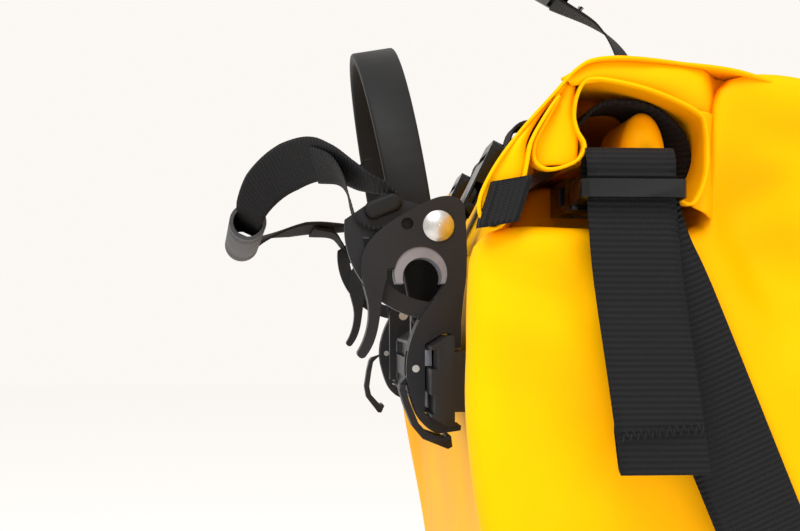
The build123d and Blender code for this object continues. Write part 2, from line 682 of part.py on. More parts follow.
KNOB_TOP = KNOB[1] + KNOB_T / 2 + 1.6
with BuildPart() as pull_strap_left:
    add(arched_band((-HOOK_X, KNOB[0] + 2, KNOB_TOP), GRIP_NEAR, 18.0))
    add(tongue(1.8, -12.0, 52.0))
with BuildPart() as pull_strap_right:
    add(arched_band((HOOK_X, KNOB[0] + 2, KNOB_TOP), tuple(grip_far), 10.0))
    add(tongue(-1.8, GRIP_LENGTH - 40.0, 52.0))
save(pull_strap_left.part, "pull_strap_left")
save(pull_strap_right.part, "pull_strap_right")


# --- side-release buckle, made in its own frame --------------------------------------------------
BUCKLE_CHEEK = 2.5
SOCKET_WALL = 2.0


def buckle_socket(width):
    """The female half: its mouth faces -X at x = 0 and the webbing bar is at the far end."""
    half = width / 2 + BUCKLE_CHEEK
    with BuildPart() as socket:
        with BuildSketch(Plane.XY.offset(-BUCKLE_T / 2)):
            with Locations((SOCKET_LENGTH / 2, 0)):
                RectangleRounded(SOCKET_LENGTH, 2 * half, 3.0)
        extrude(amount=BUCKLE_T)
        with Locations((PLUG_PRONG / 2 + 0.5, 0, 0)):
            Box(PLUG_PRONG + 2.0, 2 * (half - SOCKET_WALL), BUCKLE_T - 3.4, mode=Mode.SUBTRACT)
        for side in (-1, 1):
            with Locations((PLUG_PRONG * 0.62, side * half, 0)):
                Box(8.0, 7.0, BUCKLE_T - 3.4, mode=Mode.SUBTRACT)
        with Locations((SOCKET_LENGTH - 6.5, 0, 0)):
            Box(3.2, width, 2 * BUCKLE_T, mode=Mode.SUBTRACT)
    return socket.part


PRONG_GAP = 0.3  # the prongs have their squeezed width, so that the plug slides out


def buckle_plug(width):
    """The male half: a ladder-bar frame at -X and three prongs that enter the socket."""
    half = width / 2 + BUCKLE_CHEEK
    barb = half - SOCKET_WALL - PRONG_GAP
    with BuildPart() as plug:
        with BuildSketch(Plane.XY.offset(-BUCKLE_T / 2 + 1.0)):
            with Locations((-PLUG_BASE / 2 - 0.3, 0)):
                RectangleRounded(PLUG_BASE, 2 * half, 2.5)
        extrude(amount=BUCKLE_T - 2.0)
        for slot_x in (-PLUG_BASE + 3.5, -PLUG_BASE + 9.5):
            with Locations((slot_x, 0, 0)):
                Box(3.0, width, 2 * BUCKLE_T, mode=Mode.SUBTRACT)
        with Locations((PLUG_PRONG / 2 - 1.0, 0, 0)):
            Box(PLUG_PRONG, 3.4, 3.6)
        for side in (-1, 1):
            with BuildSketch(Plane.XY.offset(-2.0)):
                with BuildLine():
                    Polyline(
                        (-1.0, side * (half - 6.5)), (-1.0, side * (half - 3.6)), (5.0, side * (half - 3.6)),
                        (5.6, side * barb), (9.0, side * barb), (PLUG_PRONG - 1.2, side * (half - 4.2)),
                        (PLUG_PRONG - 1.2, side * (half - 6.5)), close=True,
                    )
                make_face()
            extrude(amount=4.0)
    return plug.part


# --- rack-side straps: over the roll and down to the back panel, with closed buckles --------------
SLOPE_MOUTH = 13.0
slope_plane = Plane(
    origin=(-RACK_STRAP_X, *on_slope(SLOPE_MOUTH, BUCKLE_T / 2 + WEB + 0.2 + FLAP_OUT)),
    x_dir=(0, *slope_up),
    z_dir=(0, *slope_out),
)
RACK_X = (-RACK_STRAP_X - RACK_WEB_WIDTH / 2, -RACK_STRAP_X + RACK_WEB_WIDTH / 2)
save_group(buckle_socket(RACK_WEB_WIDTH).moved(slope_plane.location), "roll_sockets")
save_pair(buckle_plug(RACK_WEB_WIDTH).moved(slope_plane.location), "roll_plug")

strap_low = on_slope(SLOPE_MOUTH + SOCKET_LENGTH - 7.0, FLAP_OUT + 0.1)
roll_strap_line = [
    strap_low,
    on_slope(slope_run - 1.0, FLAP_OUT + 0.1),
    (RIDGE_Y + 0.5, RIDGE_Z + 0.8),
    (RIDGE_Y - 7, RIDGE_Z + 0.1),
    (RIDGE_Y - 26, RIDGE_Z - 2.4 + 0.1),
]
save_group(prism(ribbon_outline(roll_strap_line, WEB), *RACK_X), "roll_straps")

lower_tab_line = [
    on_slope(0.0, FLAP_OUT + 0.5),
    on_slope(-6.0, FLAP_OUT + 0.5),
    (BACK_Y + 0.05, SHOULDER_Z + 4),
    (BACK_Y + 0.05, SHOULDER_Z - 9.5),
]
save_group(prism(ribbon_outline(lower_tab_line[::-1], WEB), *RACK_X), "lower_tabs")

# --- end straps: tab from the roll, buckle, tail and the run down to the anchor --------------------
END_Y, END_Z = 58.4, 383.2
END_MOUTH_X = -TOP_WIDTH / 2 + 10.0
end_plane = Plane(origin=(END_MOUTH_X, END_Y, END_Z), x_dir=(1, 0, 0), z_dir=(0, 0, 1))
end_socket = buckle_socket(END_WEB_WIDTH).moved(end_plane.location)
end_plug = buckle_plug(END_WEB_WIDTH).moved(end_plane.location)
save(end_socket, "end_socket_left")
save(end_plug, "end_plug_left")

with BuildPart() as end_tab_left:
    tab_x = END_MOUTH_X + SOCKET_LENGTH
    with BuildSketch(Plane.XZ.offset(-(END_Y - END_WEB_WIDTH / 2 + 1.5))):
        with BuildLine():
            tab = [(tab_x - 5, END_Z), (tab_x - 5, END_Z + 5.2), (tab_x + 7, ROLL_FLOOR_Z - 1.7)]
            tab += [(tab_x + 7, ROLL_FLOOR_Z), (tab_x - 7, ROLL_FLOOR_Z), (tab_x - 8, END_Z)]
            Polyline(*tab, close=True)
        make_face()
    extrude(amount=-(END_WEB_WIDTH - 3))
save(end_tab_left.part, "end_tab_left")

TAIL_X = END_MOUTH_X - PLUG_BASE - 0.4  # inner face of the hanging webbing, just clear of the plug
TAIL_THICK = 1.8
TAIL_TOP_Z = END_Z + 6.5
TAIL_LOW_Z = 306.4
TAIL_SWAY = 8.0
tail = [
    (END_Y - END_WEB_WIDTH / 2, TAIL_TOP_Z),
    (END_Y + END_WEB_WIDTH / 2, TAIL_TOP_Z),
    (END_Y + END_WEB_WIDTH / 2 - TAIL_SWAY, TAIL_LOW_Z),
    (END_Y - END_WEB_WIDTH / 2 - TAIL_SWAY, TAIL_LOW_Z),
]
with BuildPart() as strap_tail:
    add(prism(tail, TAIL_X - TAIL_THICK, TAIL_X))
save(strap_tail.part, "strap_tail_left")

ANCHOR_Y, ANCHOR_Z = -42.0, 150.0
RUN_TOP_Y, RUN_TOP_Z = 46.0, 350.0
end_lean = atan2((TOP_WIDTH - BASE_WIDTH) / 2, SHOULDER_Z)
panel_plane = Plane(
    origin=(-half_width(ANCHOR_Z), ANCHOR_Y, ANCHOR_Z),
    x_dir=(0, 1, 0),
    z_dir=(-cos(end_lean), 0, -sin(end_lean)),
)
run_across = RUN_TOP_Y - ANCHOR_Y
run_up = (RUN_TOP_Z - ANCHOR_Z) / cos(end_lean)
run_length = hypot(run_across, run_up)
run_turn = degrees(atan2(-run_across, run_up))
with BuildPart() as side_strap:
    with BuildSketch(panel_plane):
        with Locations(Location((0, 0, 0), (0, 0, 180 - run_turn))):
            with Locations((0, run_length / 2)):
                Rectangle(END_WEB_WIDTH, run_length)
    extrude(amount=WEB)
save_pair(side_strap.part, "side_strap")

with BuildPart() as strap_anchor:
    with BuildSketch(panel_plane.offset(WEB)):
        with Locations(Location((0, 0, 0), (0, 0, 180 - run_turn))):
            RectangleRounded(END_WEB_WIDTH + 10, 30, 3)
    extrude(amount=1.0)
save_group(strap_anchor.part, "strap_anchors")

# the right end is unbuckled: its plug lies on the top of the side strap, with the tail folded down
PLUG_HALF_T = BUCKLE_T / 2 - 1.0
run_dir = Vector(
    sin(end_lean) * cos(radians(run_turn)), -sin(radians(run_turn)), cos(end_lean) * cos(radians(run_turn))
)
panel_out = Vector(cos(end_lean), 0, -sin(end_lean))
run_top = Vector(half_width(ANCHOR_Z), ANCHOR_Y, ANCHOR_Z) + run_dir * run_length
plug_seat = run_top + run_dir * 10.0 + panel_out * (WEB + PLUG_HALF_T + 0.05)
loose_plane = Plane(origin=plug_seat, x_dir=run_dir, z_dir=panel_out)
save(buckle_plug(END_WEB_WIDTH).moved(loose_plane.location), "end_plug_right")
LOOSE_TAIL = 80.0
with BuildPart() as loose_tail:
    with BuildSketch(loose_plane.offset(PLUG_HALF_T + 0.05)):
        with Locations((-LOOSE_TAIL / 2 - 4.0, 0)):
            Rectangle(LOOSE_TAIL, END_WEB_WIDTH)
    extrude(amount=WEB)
save(loose_tail.part, "strap_tail_right")

# the right end's tab stands free of its plug and carries its socket
STAND_X = TOP_WIDTH / 2 - 22.0
stand_line = [(-28.0, CROWN_Z - 9.0), (-24.0, 455.0), (-19.0, 482.0), (-5.0, 503.0), (22.0, 518.0)]
STAND_X_RANGE = (STAND_X - END_WEB_WIDTH / 2, STAND_X + END_WEB_WIDTH / 2)
with BuildPart() as end_tab_right:
    add(prism(ribbon_outline(stand_line, WEB), *STAND_X_RANGE))
save(end_tab_right.part, "end_tab_right")

STAND_REACH = SOCKET_LENGTH - 7.5
STAND_LIFT = BUCKLE_T / 2 + 0.1
tip_run = Vector(0, stand_line[-1][0] - stand_line[-2][0], stand_line[-1][1] - stand_line[-2][1]).normalized()
stand_socket_plane = Plane(
    origin=(
        STAND_X,
        stand_line[-1][0] + STAND_REACH * tip_run.Y - STAND_LIFT * tip_run.Z,
        stand_line[-1][1] + STAND_REACH * tip_run.Z + STAND_LIFT * tip_run.Y,
    ),
    x_dir=-tip_run,
    z_dir=(0, tip_run.Z, -tip_run.Y),
)
save(buckle_socket(END_WEB_WIDTH).moved(stand_socket_plane.location), "end_socket_right")

# --- lower rail with its sliding, swivelling anchor ------------------------------------------------
def lower_box(x_size, up_size, out_from, out_to):
    """A block centred on the lower rail; out is measured away from the back panel."""
    with BuildPart() as block:
        with BuildSketch(lower_plane.offset(out_from)):
            Rectangle(x_size, up_size)
        extrude(amount=out_to - out_from)
    return block.part


HEAD_OUT = LOWER_NECK[1] + LOWER_HEAD[1]
with BuildPart() as lower_rail:
    add(lower_box(2 * LOWER_RAIL_HALF, LOWER_NECK[0], 0, LOWER_NECK[1]))
    add(lower_box(2 * LOWER_RAIL_HALF, LOWER_HEAD[0], LOWER_NECK[1], HEAD_OUT))
    mid_head = lower_plane.offset(HEAD_OUT / 2).location
    with Locations(*[mid_head * Location((x, 0, 0)) for x in LOWER_SCREW_XS]):
        Cylinder(RAIL_SCREW_R, 2 * HEAD_OUT, mode=Mode.SUBTRACT)
save(lower_rail.part, "lower_rail")

with BuildPart() as lower_screws:
    inside = FABRIC + BOARD + 1.5
    middle = (HEAD_OUT - inside) / 2
    with Locations(*[lower_plane.location * Location((x, 0, middle)) for x in LOWER_SCREW_XS]):
        Cylinder(RAIL_SCREW_R, HEAD_OUT + inside)
    with Locations(*[lower_plane.location * Location((x, 0, -inside - 1)) for x in LOWER_SCREW_XS]):
        Cylinder(SCREW_HEAD_R, 2)

CAR_LENGTH, CAR_GAP, CAR_WALL = 26.0, 0.35, 2.4
CAR_LIP = 2.6
CAR_FACE = HEAD_OUT + CAR_GAP + CAR_WALL
THROUGH = CAR_LENGTH + 2
car_head = lower_box(THROUGH, LOWER_HEAD[0] + 2 * CAR_GAP, LOWER_NECK[1] - CAR_GAP, HEAD_OUT + CAR_GAP)
car_neck = lower_box(THROUGH, LOWER_NECK[0] + 2 * CAR_GAP, 0, LOWER_NECK[1])
with BuildPart() as anchor_carriage:
    add(lower_box(CAR_LENGTH, LOWER_HEAD[0] + 2 * (CAR_GAP + CAR_WALL), LOWER_NECK[1] - CAR_LIP, CAR_FACE))
    add(car_head, mode=Mode.SUBTRACT)
    add(car_neck, mode=Mode.SUBTRACT)
SWIVEL_R = 3.0
with BuildPart() as anchor_post:
    with BuildSketch(lower_plane.offset(CAR_FACE)):
        Circle(SWIVEL_R)
    extrude(amount=5.4)
    with BuildSketch(lower_plane.offset(CAR_FACE + 4.6)):
        Circle(SWIVEL_R + 2.2)
    extrude(amount=1.6)
save(anchor_carriage.part, "anchor_carriage")
save(anchor_post.part, "anchor_screw")

ARM_T = 4.0
with BuildPart() as anchor_claw:
    with BuildSketch(lower_plane.offset(CAR_FACE + 0.3)):
        Circle(9.0)
        with Locations((0, ANCHOR_ARM / 2)):
            Rectangle(13.0, ANCHOR_ARM)
        with Locations((7.5, ANCHOR_ARM - 6.5)):
            Rectangle(28.0, 13.0)
        Circle(SWIVEL_R + SPIN_CLEAR, mode=Mode.SUBTRACT)
    extrude(amount=ARM_T)
    with BuildSketch(lower_plane.offset(CAR_FACE + 0.3 + ARM_T)):
        with Locations((19.5, ANCHOR_ARM - 6.5)):
            Rectangle(4.0, 13.0)
    extrude(amount=9.0)
save(anchor_claw.part, "anchor_claw")

save(lower_screws.part, "lower_rail_screws")
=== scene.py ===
# %% [markdown]
# # A roll-top rack pannier
# The bag is a waterproof roll-top pannier: yellow coated tarpaulin, black webbing and moulded hooks.
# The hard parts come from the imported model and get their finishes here. The soft parts, which are
# the bag, its rolled mouth and every strap, are shaped here, in the space that the model keeps for them.

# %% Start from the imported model
import json
import math
import bmesh
import bpy
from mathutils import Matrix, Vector, noise


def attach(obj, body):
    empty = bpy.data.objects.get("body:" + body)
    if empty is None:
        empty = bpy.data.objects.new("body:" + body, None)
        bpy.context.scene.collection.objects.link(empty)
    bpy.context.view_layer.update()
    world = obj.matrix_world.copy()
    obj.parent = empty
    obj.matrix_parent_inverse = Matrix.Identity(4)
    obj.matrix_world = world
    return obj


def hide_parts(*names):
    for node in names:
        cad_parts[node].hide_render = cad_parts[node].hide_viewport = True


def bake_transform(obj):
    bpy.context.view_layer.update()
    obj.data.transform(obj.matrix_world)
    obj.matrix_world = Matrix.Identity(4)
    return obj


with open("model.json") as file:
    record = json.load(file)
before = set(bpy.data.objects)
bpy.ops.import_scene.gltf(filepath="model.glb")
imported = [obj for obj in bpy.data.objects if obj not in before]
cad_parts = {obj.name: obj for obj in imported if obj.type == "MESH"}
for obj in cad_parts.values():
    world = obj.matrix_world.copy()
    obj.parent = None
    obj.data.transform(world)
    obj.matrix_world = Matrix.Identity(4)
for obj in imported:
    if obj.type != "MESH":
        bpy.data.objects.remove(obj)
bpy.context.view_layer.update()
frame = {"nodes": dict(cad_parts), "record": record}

MM = 0.001

# %% [markdown]
# ## Finishes
# Every finish is a node material. Colours are written as sRGB hex values, which one function turns
# to linear. One small function adds a node, its settings and its links.

# %% Node helpers


def colour(code):
    """An sRGB hex value as linear red, green, blue and alpha."""
    parts = [int(code[i:i + 2], 16) / 255 for i in (1, 3, 5)]
    linear = [p / 12.92 if p <= 0.04045 else ((p + 0.055) / 1.055) ** 2.4 for p in parts]
    return (*linear, 1.0)


def node(tree, kind, settings=None, **inputs):
    """Add a node; settings are its properties, inputs are values or links by socket name."""
    made = tree.nodes.new(kind)
    for name, value in (settings or {}).items():
        setattr(made, name, value)
    for name, value in inputs.items():
        socket = made.inputs[int(name[1:])] if name[0] == "i" and name[1:].isdigit() else made.inputs[
            name.replace("_", " ")]
        if isinstance(value, bpy.types.NodeSocket):
            tree.links.new(value, socket)
        else:
            socket.default_value = value
    return made


def material(name, rough, metal=0.0, **shader):
    """A material with its shader; returns the material, its tree and the shader."""
    made = bpy.data.materials.new(name)
    made.use_nodes = True
    bsdf = made.node_tree.nodes["Principled BSDF"]
    bsdf.inputs["Roughness"].default_value = rough
    bsdf.inputs["Metallic"].default_value = metal
    for key, value in shader.items():
        bsdf.inputs[key.replace("_", " ")].default_value = value
    return made, made.node_tree, bsdf


def mottled(tree, low, high, scale, detail=3.0):
    """A soft noise between two colours; scale is in waves per metre."""
    place = node(tree, "ShaderNodeTexCoord")
    clouds = node(tree, "ShaderNodeTexNoise", Vector=place.outputs["Object"], Scale=scale, Detail=detail)
    ramp = node(tree, "ShaderNodeValToRGB", Fac=clouds.outputs["Fac"])
    ramp.color_ramp.elements[0].position = 0.35
    ramp.color_ramp.elements[1].position = 0.68
    ramp.color_ramp.elements[0].color = colour(low)
    ramp.color_ramp.elements[1].color = colour(high)
    return place.outputs["Object"], clouds.outputs["Fac"], ramp.outputs["Color"]


def bumped(tree, bsdf, height, strength, distance_mm):
    lift = node(tree, "ShaderNodeBump", Height=height, Strength=strength, Distance=distance_mm * MM)
    tree.links.new(lift.outputs["Normal"], bsdf.inputs["Normal"])


# %% [markdown]
# The tarpaulin is polyester cloth under a calendered PVC coat: a strong warm yellow with a soft
# gloss. The cloth's threads, about 1 mm apart, print faintly through the coat.

# %% Coated tarpaulin
THREAD_MM = 1.1


def tarpaulin(name, low, high):
    made, tree, bsdf = material(name, 0.5, Specular_IOR_Level=0.04)
    place, clouds, tint = mottled(tree, low, high, 14.0)
    weave = node(tree, "ShaderNodeTexVoronoi", {"feature": "F1"}, Vector=place,
                 Scale=1.0 / (THREAD_MM * MM))
    fold = node(tree, "ShaderNodeTexNoise", Vector=place, Scale=38.0, Detail=4.0, Distortion=0.6)
    tree.links.new(tint, bsdf.inputs["Base Color"])
    height = node(tree, "ShaderNodeMath", {"operation": "MULTIPLY_ADD"}, i0=weave.outputs["Distance"],
                  i1=0.12, i2=fold.outputs["Fac"])
    bumped(tree, bsdf, height.outputs["Value"], 0.35, 0.5)
    scuff = node(tree, "ShaderNodeMapRange", Value=clouds, From_Min=0.3, From_Max=0.7, To_Min=0.42,
                 To_Max=0.54)
    tree.links.new(scuff.outputs["Result"], bsdf.inputs["Roughness"])
    return made


yellow = tarpaulin("coated_tarpaulin_yellow", "#FFAE00", "#FFBE00")

# %% [markdown]
# Webbing is woven nylon: ribs run across the strap every 1.65 mm, and each rib is a row of fine
# yarns. The ribs are real geometry on the straps, and the yarns are a bump that follows the strap.
# Its colour follows the same height: painted shade in the valleys and a painted highlight on the crests.

# %% Ribbed webbing
RIB_MM = 1.65
YARN_MM = 0.8


def webbing_finish():
    made, tree, bsdf = material("ribbed_nylon_webbing", 0.7, Specular_IOR_Level=0.22, Sheen_Weight=0.02,
                                Sheen_Roughness=0.5)
    uv = node(tree, "ShaderNodeUVMap", {"uv_map": "strap"})
    apart = node(tree, "ShaderNodeSeparateXYZ", Vector=uv.outputs["UV"])
    along = node(tree, "ShaderNodeMath", {"operation": "MULTIPLY"}, i0=apart.outputs["X"],
                 i1=2 * math.pi / (RIB_MM * MM))
    across = node(tree, "ShaderNodeMath", {"operation": "MULTIPLY"}, i0=apart.outputs["Y"],
                  i1=2 * math.pi / (YARN_MM * MM))
    rib = node(tree, "ShaderNodeMath", {"operation": "COSINE"}, i0=along.outputs["Value"])
    lean = node(tree, "ShaderNodeMath", {"operation": "ADD"}, i0=across.outputs["Value"],
                i1=along.outputs["Value"])
    yarn = node(tree, "ShaderNodeMath", {"operation": "SINE"}, i0=lean.outputs["Value"])
    both = node(tree, "ShaderNodeMath", {"operation": "MULTIPLY_ADD"}, i0=yarn.outputs["Value"], i1=0.4,
                i2=rib.outputs["Value"])
    ramp = node(tree, "ShaderNodeMapRange", Value=both.outputs["Value"], From_Min=-1.4, From_Max=1.4)
    # Painted shade and highlight: the colour follows the rib and yarn height, darker in the valleys and
    # lighter on the crests.
    tint = node(tree, "ShaderNodeValToRGB", Fac=ramp.outputs["Result"])
    tint.color_ramp.elements[0].color = colour("#040405")
    tint.color_ramp.elements[1].color = colour("#19191B")
    tree.links.new(tint.outputs["Color"], bsdf.inputs["Base Color"])
    bumped(tree, bsdf, both.outputs["Value"], 0.6, 0.25)
    return made


webbing = webbing_finish()

# %% [markdown]
# The hooks are glass-filled nylon: charcoal, matte, with a fine spark-eroded texture from the mould.
# The rail is the same family but extruded and a little smoother. Buckles are glossy acetal, and the
# handle is moulded rubber with a dry, soft surface.

# %% Moulded finishes


def moulded(name, low, high, rough, grain_mm, grain, specular=0.5):
    made, tree, bsdf = material(name, rough, Specular_IOR_Level=specular)
    place, clouds, tint = mottled(tree, low, high, 60.0)
    tree.links.new(tint, bsdf.inputs["Base Color"])
    fine = node(tree, "ShaderNodeTexNoise", Vector=place, Scale=1.0 / (grain_mm * MM), Detail=2.0)
    bumped(tree, bsdf, fine.outputs["Fac"], grain, 0.1)
    wear = node(tree, "ShaderNodeMapRange", Value=clouds, From_Min=0.3, From_Max=0.7, To_Min=rough - 0.05,
                To_Max=rough + 0.06)
    tree.links.new(wear.outputs["Result"], bsdf.inputs["Roughness"])
    return made


hook_nylon = moulded("glass_filled_nylon", "#121215", "#18181C", 0.50, 0.5, 0.5, 0.32)
rail_nylon = moulded("extruded_nylon", "#0E0E10", "#141417", 0.42, 0.8, 0.25, 0.35)
acetal = moulded("gloss_acetal", "#050506", "#09090A", 0.27, 1.5, 0.1, 0.3)
rubber = moulded("moulded_rubber", "#0A0A0B", "#101011", 0.58, 0.6, 0.35, 0.25)
grip_rubber = moulded("grip_rubber_grey", "#2E2E31", "#3A3A3D", 0.55, 0.6, 0.35, 0.4)
insert_grey = moulded("insert_nylon_grey", "#6E6E74", "#82828A", 0.45, 0.6, 0.3)
board = moulded("stiffener_sheet", "#1C1C1E", "#262628", 0.5, 0.7, 0.3)
reflector = moulded("retroreflective_tape", "#9FA4A8", "#B9BEC2", 0.30, 1.2, 0.4, 0.8)

# %% [markdown]
# Rivets, pins and screws are stainless steel, tumbled to a satin finish, so the highlight is broad
# and faintly brushed.

# %% Satin steel


def satin_steel():
    made, tree, bsdf = material("satin_stainless_steel", 0.34, 1.0)
    place, clouds, tint = mottled(tree, "#B9B7B3", "#D9D8D5", 180.0)
    tree.links.new(tint, bsdf.inputs["Base Color"])
    brush = node(tree, "ShaderNodeTexNoise", Vector=place, Scale=900.0, Detail=3.0)
    bumped(tree, bsdf, brush.outputs["Fac"], 0.15, 0.1)
    rough = node(tree, "ShaderNodeMapRange", Value=brush.outputs["Fac"], To_Min=0.28, To_Max=0.46)
    tree.links.new(rough.outputs["Result"], bsdf.inputs["Roughness"])
    return made


steel = satin_steel()

# %% [markdown]
# Each hard part of the model keeps its shape and gets the finish that its record names.

# %% Finishes for the hard parts
FINISH = {
    "yellow_tarpaulin": yellow,
    "black_webbing": webbing,
    "hook_nylon": hook_nylon,
    "insert_grey": insert_grey,
    "rail_black": rail_nylon,
    "buckle_acetal": acetal,
    "handle_rubber": rubber,
    "satin_steel": steel,
    "stiffener_board": board,
    "pocket_nylon": board,
    "reflective_silver": reflector,
}
slot_of = {row["node"]: row["material_slot"] for row in frame["record"]["subparts"]}
for name, part in frame["nodes"].items():
    obj = part if isinstance(part, bpy.types.Object) else bpy.data.objects[name]
    obj.data.materials.clear()
    obj.data.materials.append(FINISH[slot_of[name]])
frame["nodes"]["pull_grip"].data.materials[0] = grip_rubber
print("finished", len(frame["nodes"]), "hard and hidden parts")

# %% [markdown]
# ## Moulded edges
# A moulded part has no sharp edge. The buckles, the rail, the handle, the latch knobs and the clamp
# levers are merged copies of their hard parts, with their edges rounded by a bevel. The end buckle's
# bar is thinned and made round, and the buckles on the roll are pressed down towards it.

# %% Rounded edges
body_of = {name: body for body, names in frame["record"]["behaviour"]["bodies"].items() for name in names}


SLOPE_FOOT = Vector((0, 95.0, 371.0))
SLOPE_UP = Vector((0, -22.5, 46.0)).normalized()
SLOPE_OUT = Vector((0, SLOPE_UP.z, -SLOPE_UP.y))


MERGE_MM, FLAT_DEG = 0.005, 2.0
BAR_EDGE, BAR_ROUND = 15.0, 2.0
# The end buckle's bar: everything past this x, the height it is thinned towards, and the share left.
LADDER_BAR = (-160.5, 383.2, 0.72)
ROLL_BUCKLE_SHARE = 0.48


def off_slope(name):
    """The smallest distance in mm between a hard part and the roll's rack-side slope."""
    return min((Vector(v.co) / MM - SLOPE_FOOT).dot(SLOPE_OUT) for v in frame["nodes"][name].data.vertices)


def rounded(name, radius_mm, finish, slim=None, lie=None):
    """A copy of a hard part with rounded edges.

    slim thins its outer bar towards a height; lie presses it down towards the roll's slope.
    """
    bm = bmesh.new()
    bm.from_mesh(frame["nodes"][name].data)
    bmesh.ops.remove_doubles(bm, verts=bm.verts[:], dist=MERGE_MM * MM)
    bmesh.ops.dissolve_limit(bm, angle_limit=math.radians(FLAT_DEG), verts=bm.verts[:], edges=bm.edges[:])
    if slim:
        past_x, height, share = slim
        for vert in bm.verts:
            if vert.co.x < past_x * MM:
                vert.co.z = height * MM + (vert.co.z - height * MM) * share
        bar = [e for e in bm.edges
               if e.calc_length() > BAR_EDGE * MM and all(v.co.x < past_x * MM for v in e.verts)]
        bmesh.ops.bevel(bm, geom=bar, offset=BAR_ROUND * MM, segments=5, profile=0.5, affect="EDGES",
                        clamp_overlap=True)
    if lie:
        level, share = lie
        for vert in bm.verts:
            above = (vert.co / MM - SLOPE_FOOT).dot(SLOPE_OUT) - level
            vert.co += SLOPE_OUT * above * (share - 1) * MM
    mesh = bpy.data.meshes.new(name + "_rounded")
    bm.to_mesh(mesh)
    bm.free()
    obj = bpy.data.objects.new(name + "_rounded", mesh)
    bpy.context.scene.collection.objects.link(obj)
    mesh.materials.append(finish)
    bevel = obj.modifiers.new("edges", "BEVEL")
    bevel.width = radius_mm * MM
    bevel.segments = 3
    bevel.limit_method = "ANGLE"
    bevel.angle_limit = math.radians(35)
    bevel.use_clamp_overlap = True
    bevel.harden_normals = True
    for face in mesh.polygons:
        face.use_smooth = True
    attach(obj, body_of[name])
    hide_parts(name)
    return obj


rounded("end_plug_left", 0.7, acetal, slim=LADDER_BAR)
for name in ("end_plug_right", "end_socket_left", "end_socket_right"):
    rounded(name, 0.6, acetal)
roll_level = off_slope("roll_sockets")
for name in ("roll_sockets", "roll_plug_left", "roll_plug_right"):
    rounded(name, 0.6, acetal, lie=(roll_level, ROLL_BUCKLE_SHARE))
rounded("top_rail", 1.2, rail_nylon)
rounded("carry_handle", 1.0, rubber)
for end in ("left", "right"):
    rounded(f"latch_knob_{end}", 1.2, rubber)
    rounded(f"clamp_lever_{end}", 0.5, hook_nylon)

# %% [markdown]
# ## Soft pieces
# A soft piece starts as a flat grid, as cloth does. Each point of the grid is then moved to its
# place, smoothed, and the sheet gets its real thickness.

# %% Helpers for soft pieces


def piece(name, mesh_bm, finish, body, replaces=()):
    mesh = bpy.data.meshes.new(name)
    bmesh.ops.recalc_face_normals(mesh_bm, faces=mesh_bm.faces)
    mesh_bm.to_mesh(mesh)
    mesh_bm.free()
    for face in mesh.polygons:
        face.use_smooth = True
    obj = bpy.data.objects.new(name, mesh)
    bpy.context.scene.collection.objects.link(obj)
    mesh.materials.append(finish)
    if isinstance(body, tuple):
        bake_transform(obj)
    else:
        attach(obj, body)
    if replaces:
        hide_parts(*replaces)
    return obj


SHEET_MM = 0.9


def thicken(bm):
    """Give a sheet its thickness along its own normals, which leaves no spikes at tight folds."""
    bm.normal_update()
    rim = [e for e in bm.edges if e.is_boundary]
    old = bm.verts[:]
    twin = bmesh.ops.duplicate(bm, geom=bm.verts[:] + bm.edges[:] + bm.faces[:])["vert_map"]
    for vert in old:
        twin[vert].co = vert.co - vert.normal * SHEET_MM * MM
    for edge in rim:
        a, b = edge.verts
        bm.faces.new((a, b, twin[b], twin[a]))
    bm.normal_update()


def spline(points, steps):
    """Points spread evenly along a smooth Catmull-Rom curve through the given points."""
    rows = [Vector(p) for p in points]
    rows = [2 * rows[0] - rows[1]] + rows + [2 * rows[-1] - rows[-2]]
    fine = []
    for i in range(1, len(rows) - 2):
        a, b, c, d = rows[i - 1:i + 3]
        for k in range(24):
            t = k / 24
            fine.append(0.5 * ((2 * b) + (c - a) * t + (2 * a - 5 * b + 4 * c - d) * t * t
                               + (3 * b - a - 3 * c + d) * t ** 3))
    fine.append(rows[-2])
    lengths = [0.0]
    for one, two in zip(fine, fine[1:]):
        lengths.append(lengths[-1] + (two - one).length)
    out = []
    k = 0
    for i in range(steps + 1):
        target = lengths[-1] * i / steps
        while k < len(fine) - 2 and lengths[k + 1] < target:
            k += 1
        span = lengths[k + 1] - lengths[k] or 1.0
        out.append(fine[k].lerp(fine[k + 1], (target - lengths[k]) / span))
    return out, lengths[-1]


RIB_ROWS, STRAP_COLUMNS = 4, 8
RIB_HEIGHT = 0.20


def part_way(values, share):
    """The value a share of the way along evenly spaced values."""
    if len(values) == 1:
        return values[0]
    at = share * (len(values) - 1)
    low = min(int(at), len(values) - 2)
    return values[low] * (1 - (at - low)) + values[low + 1] * (at - low)


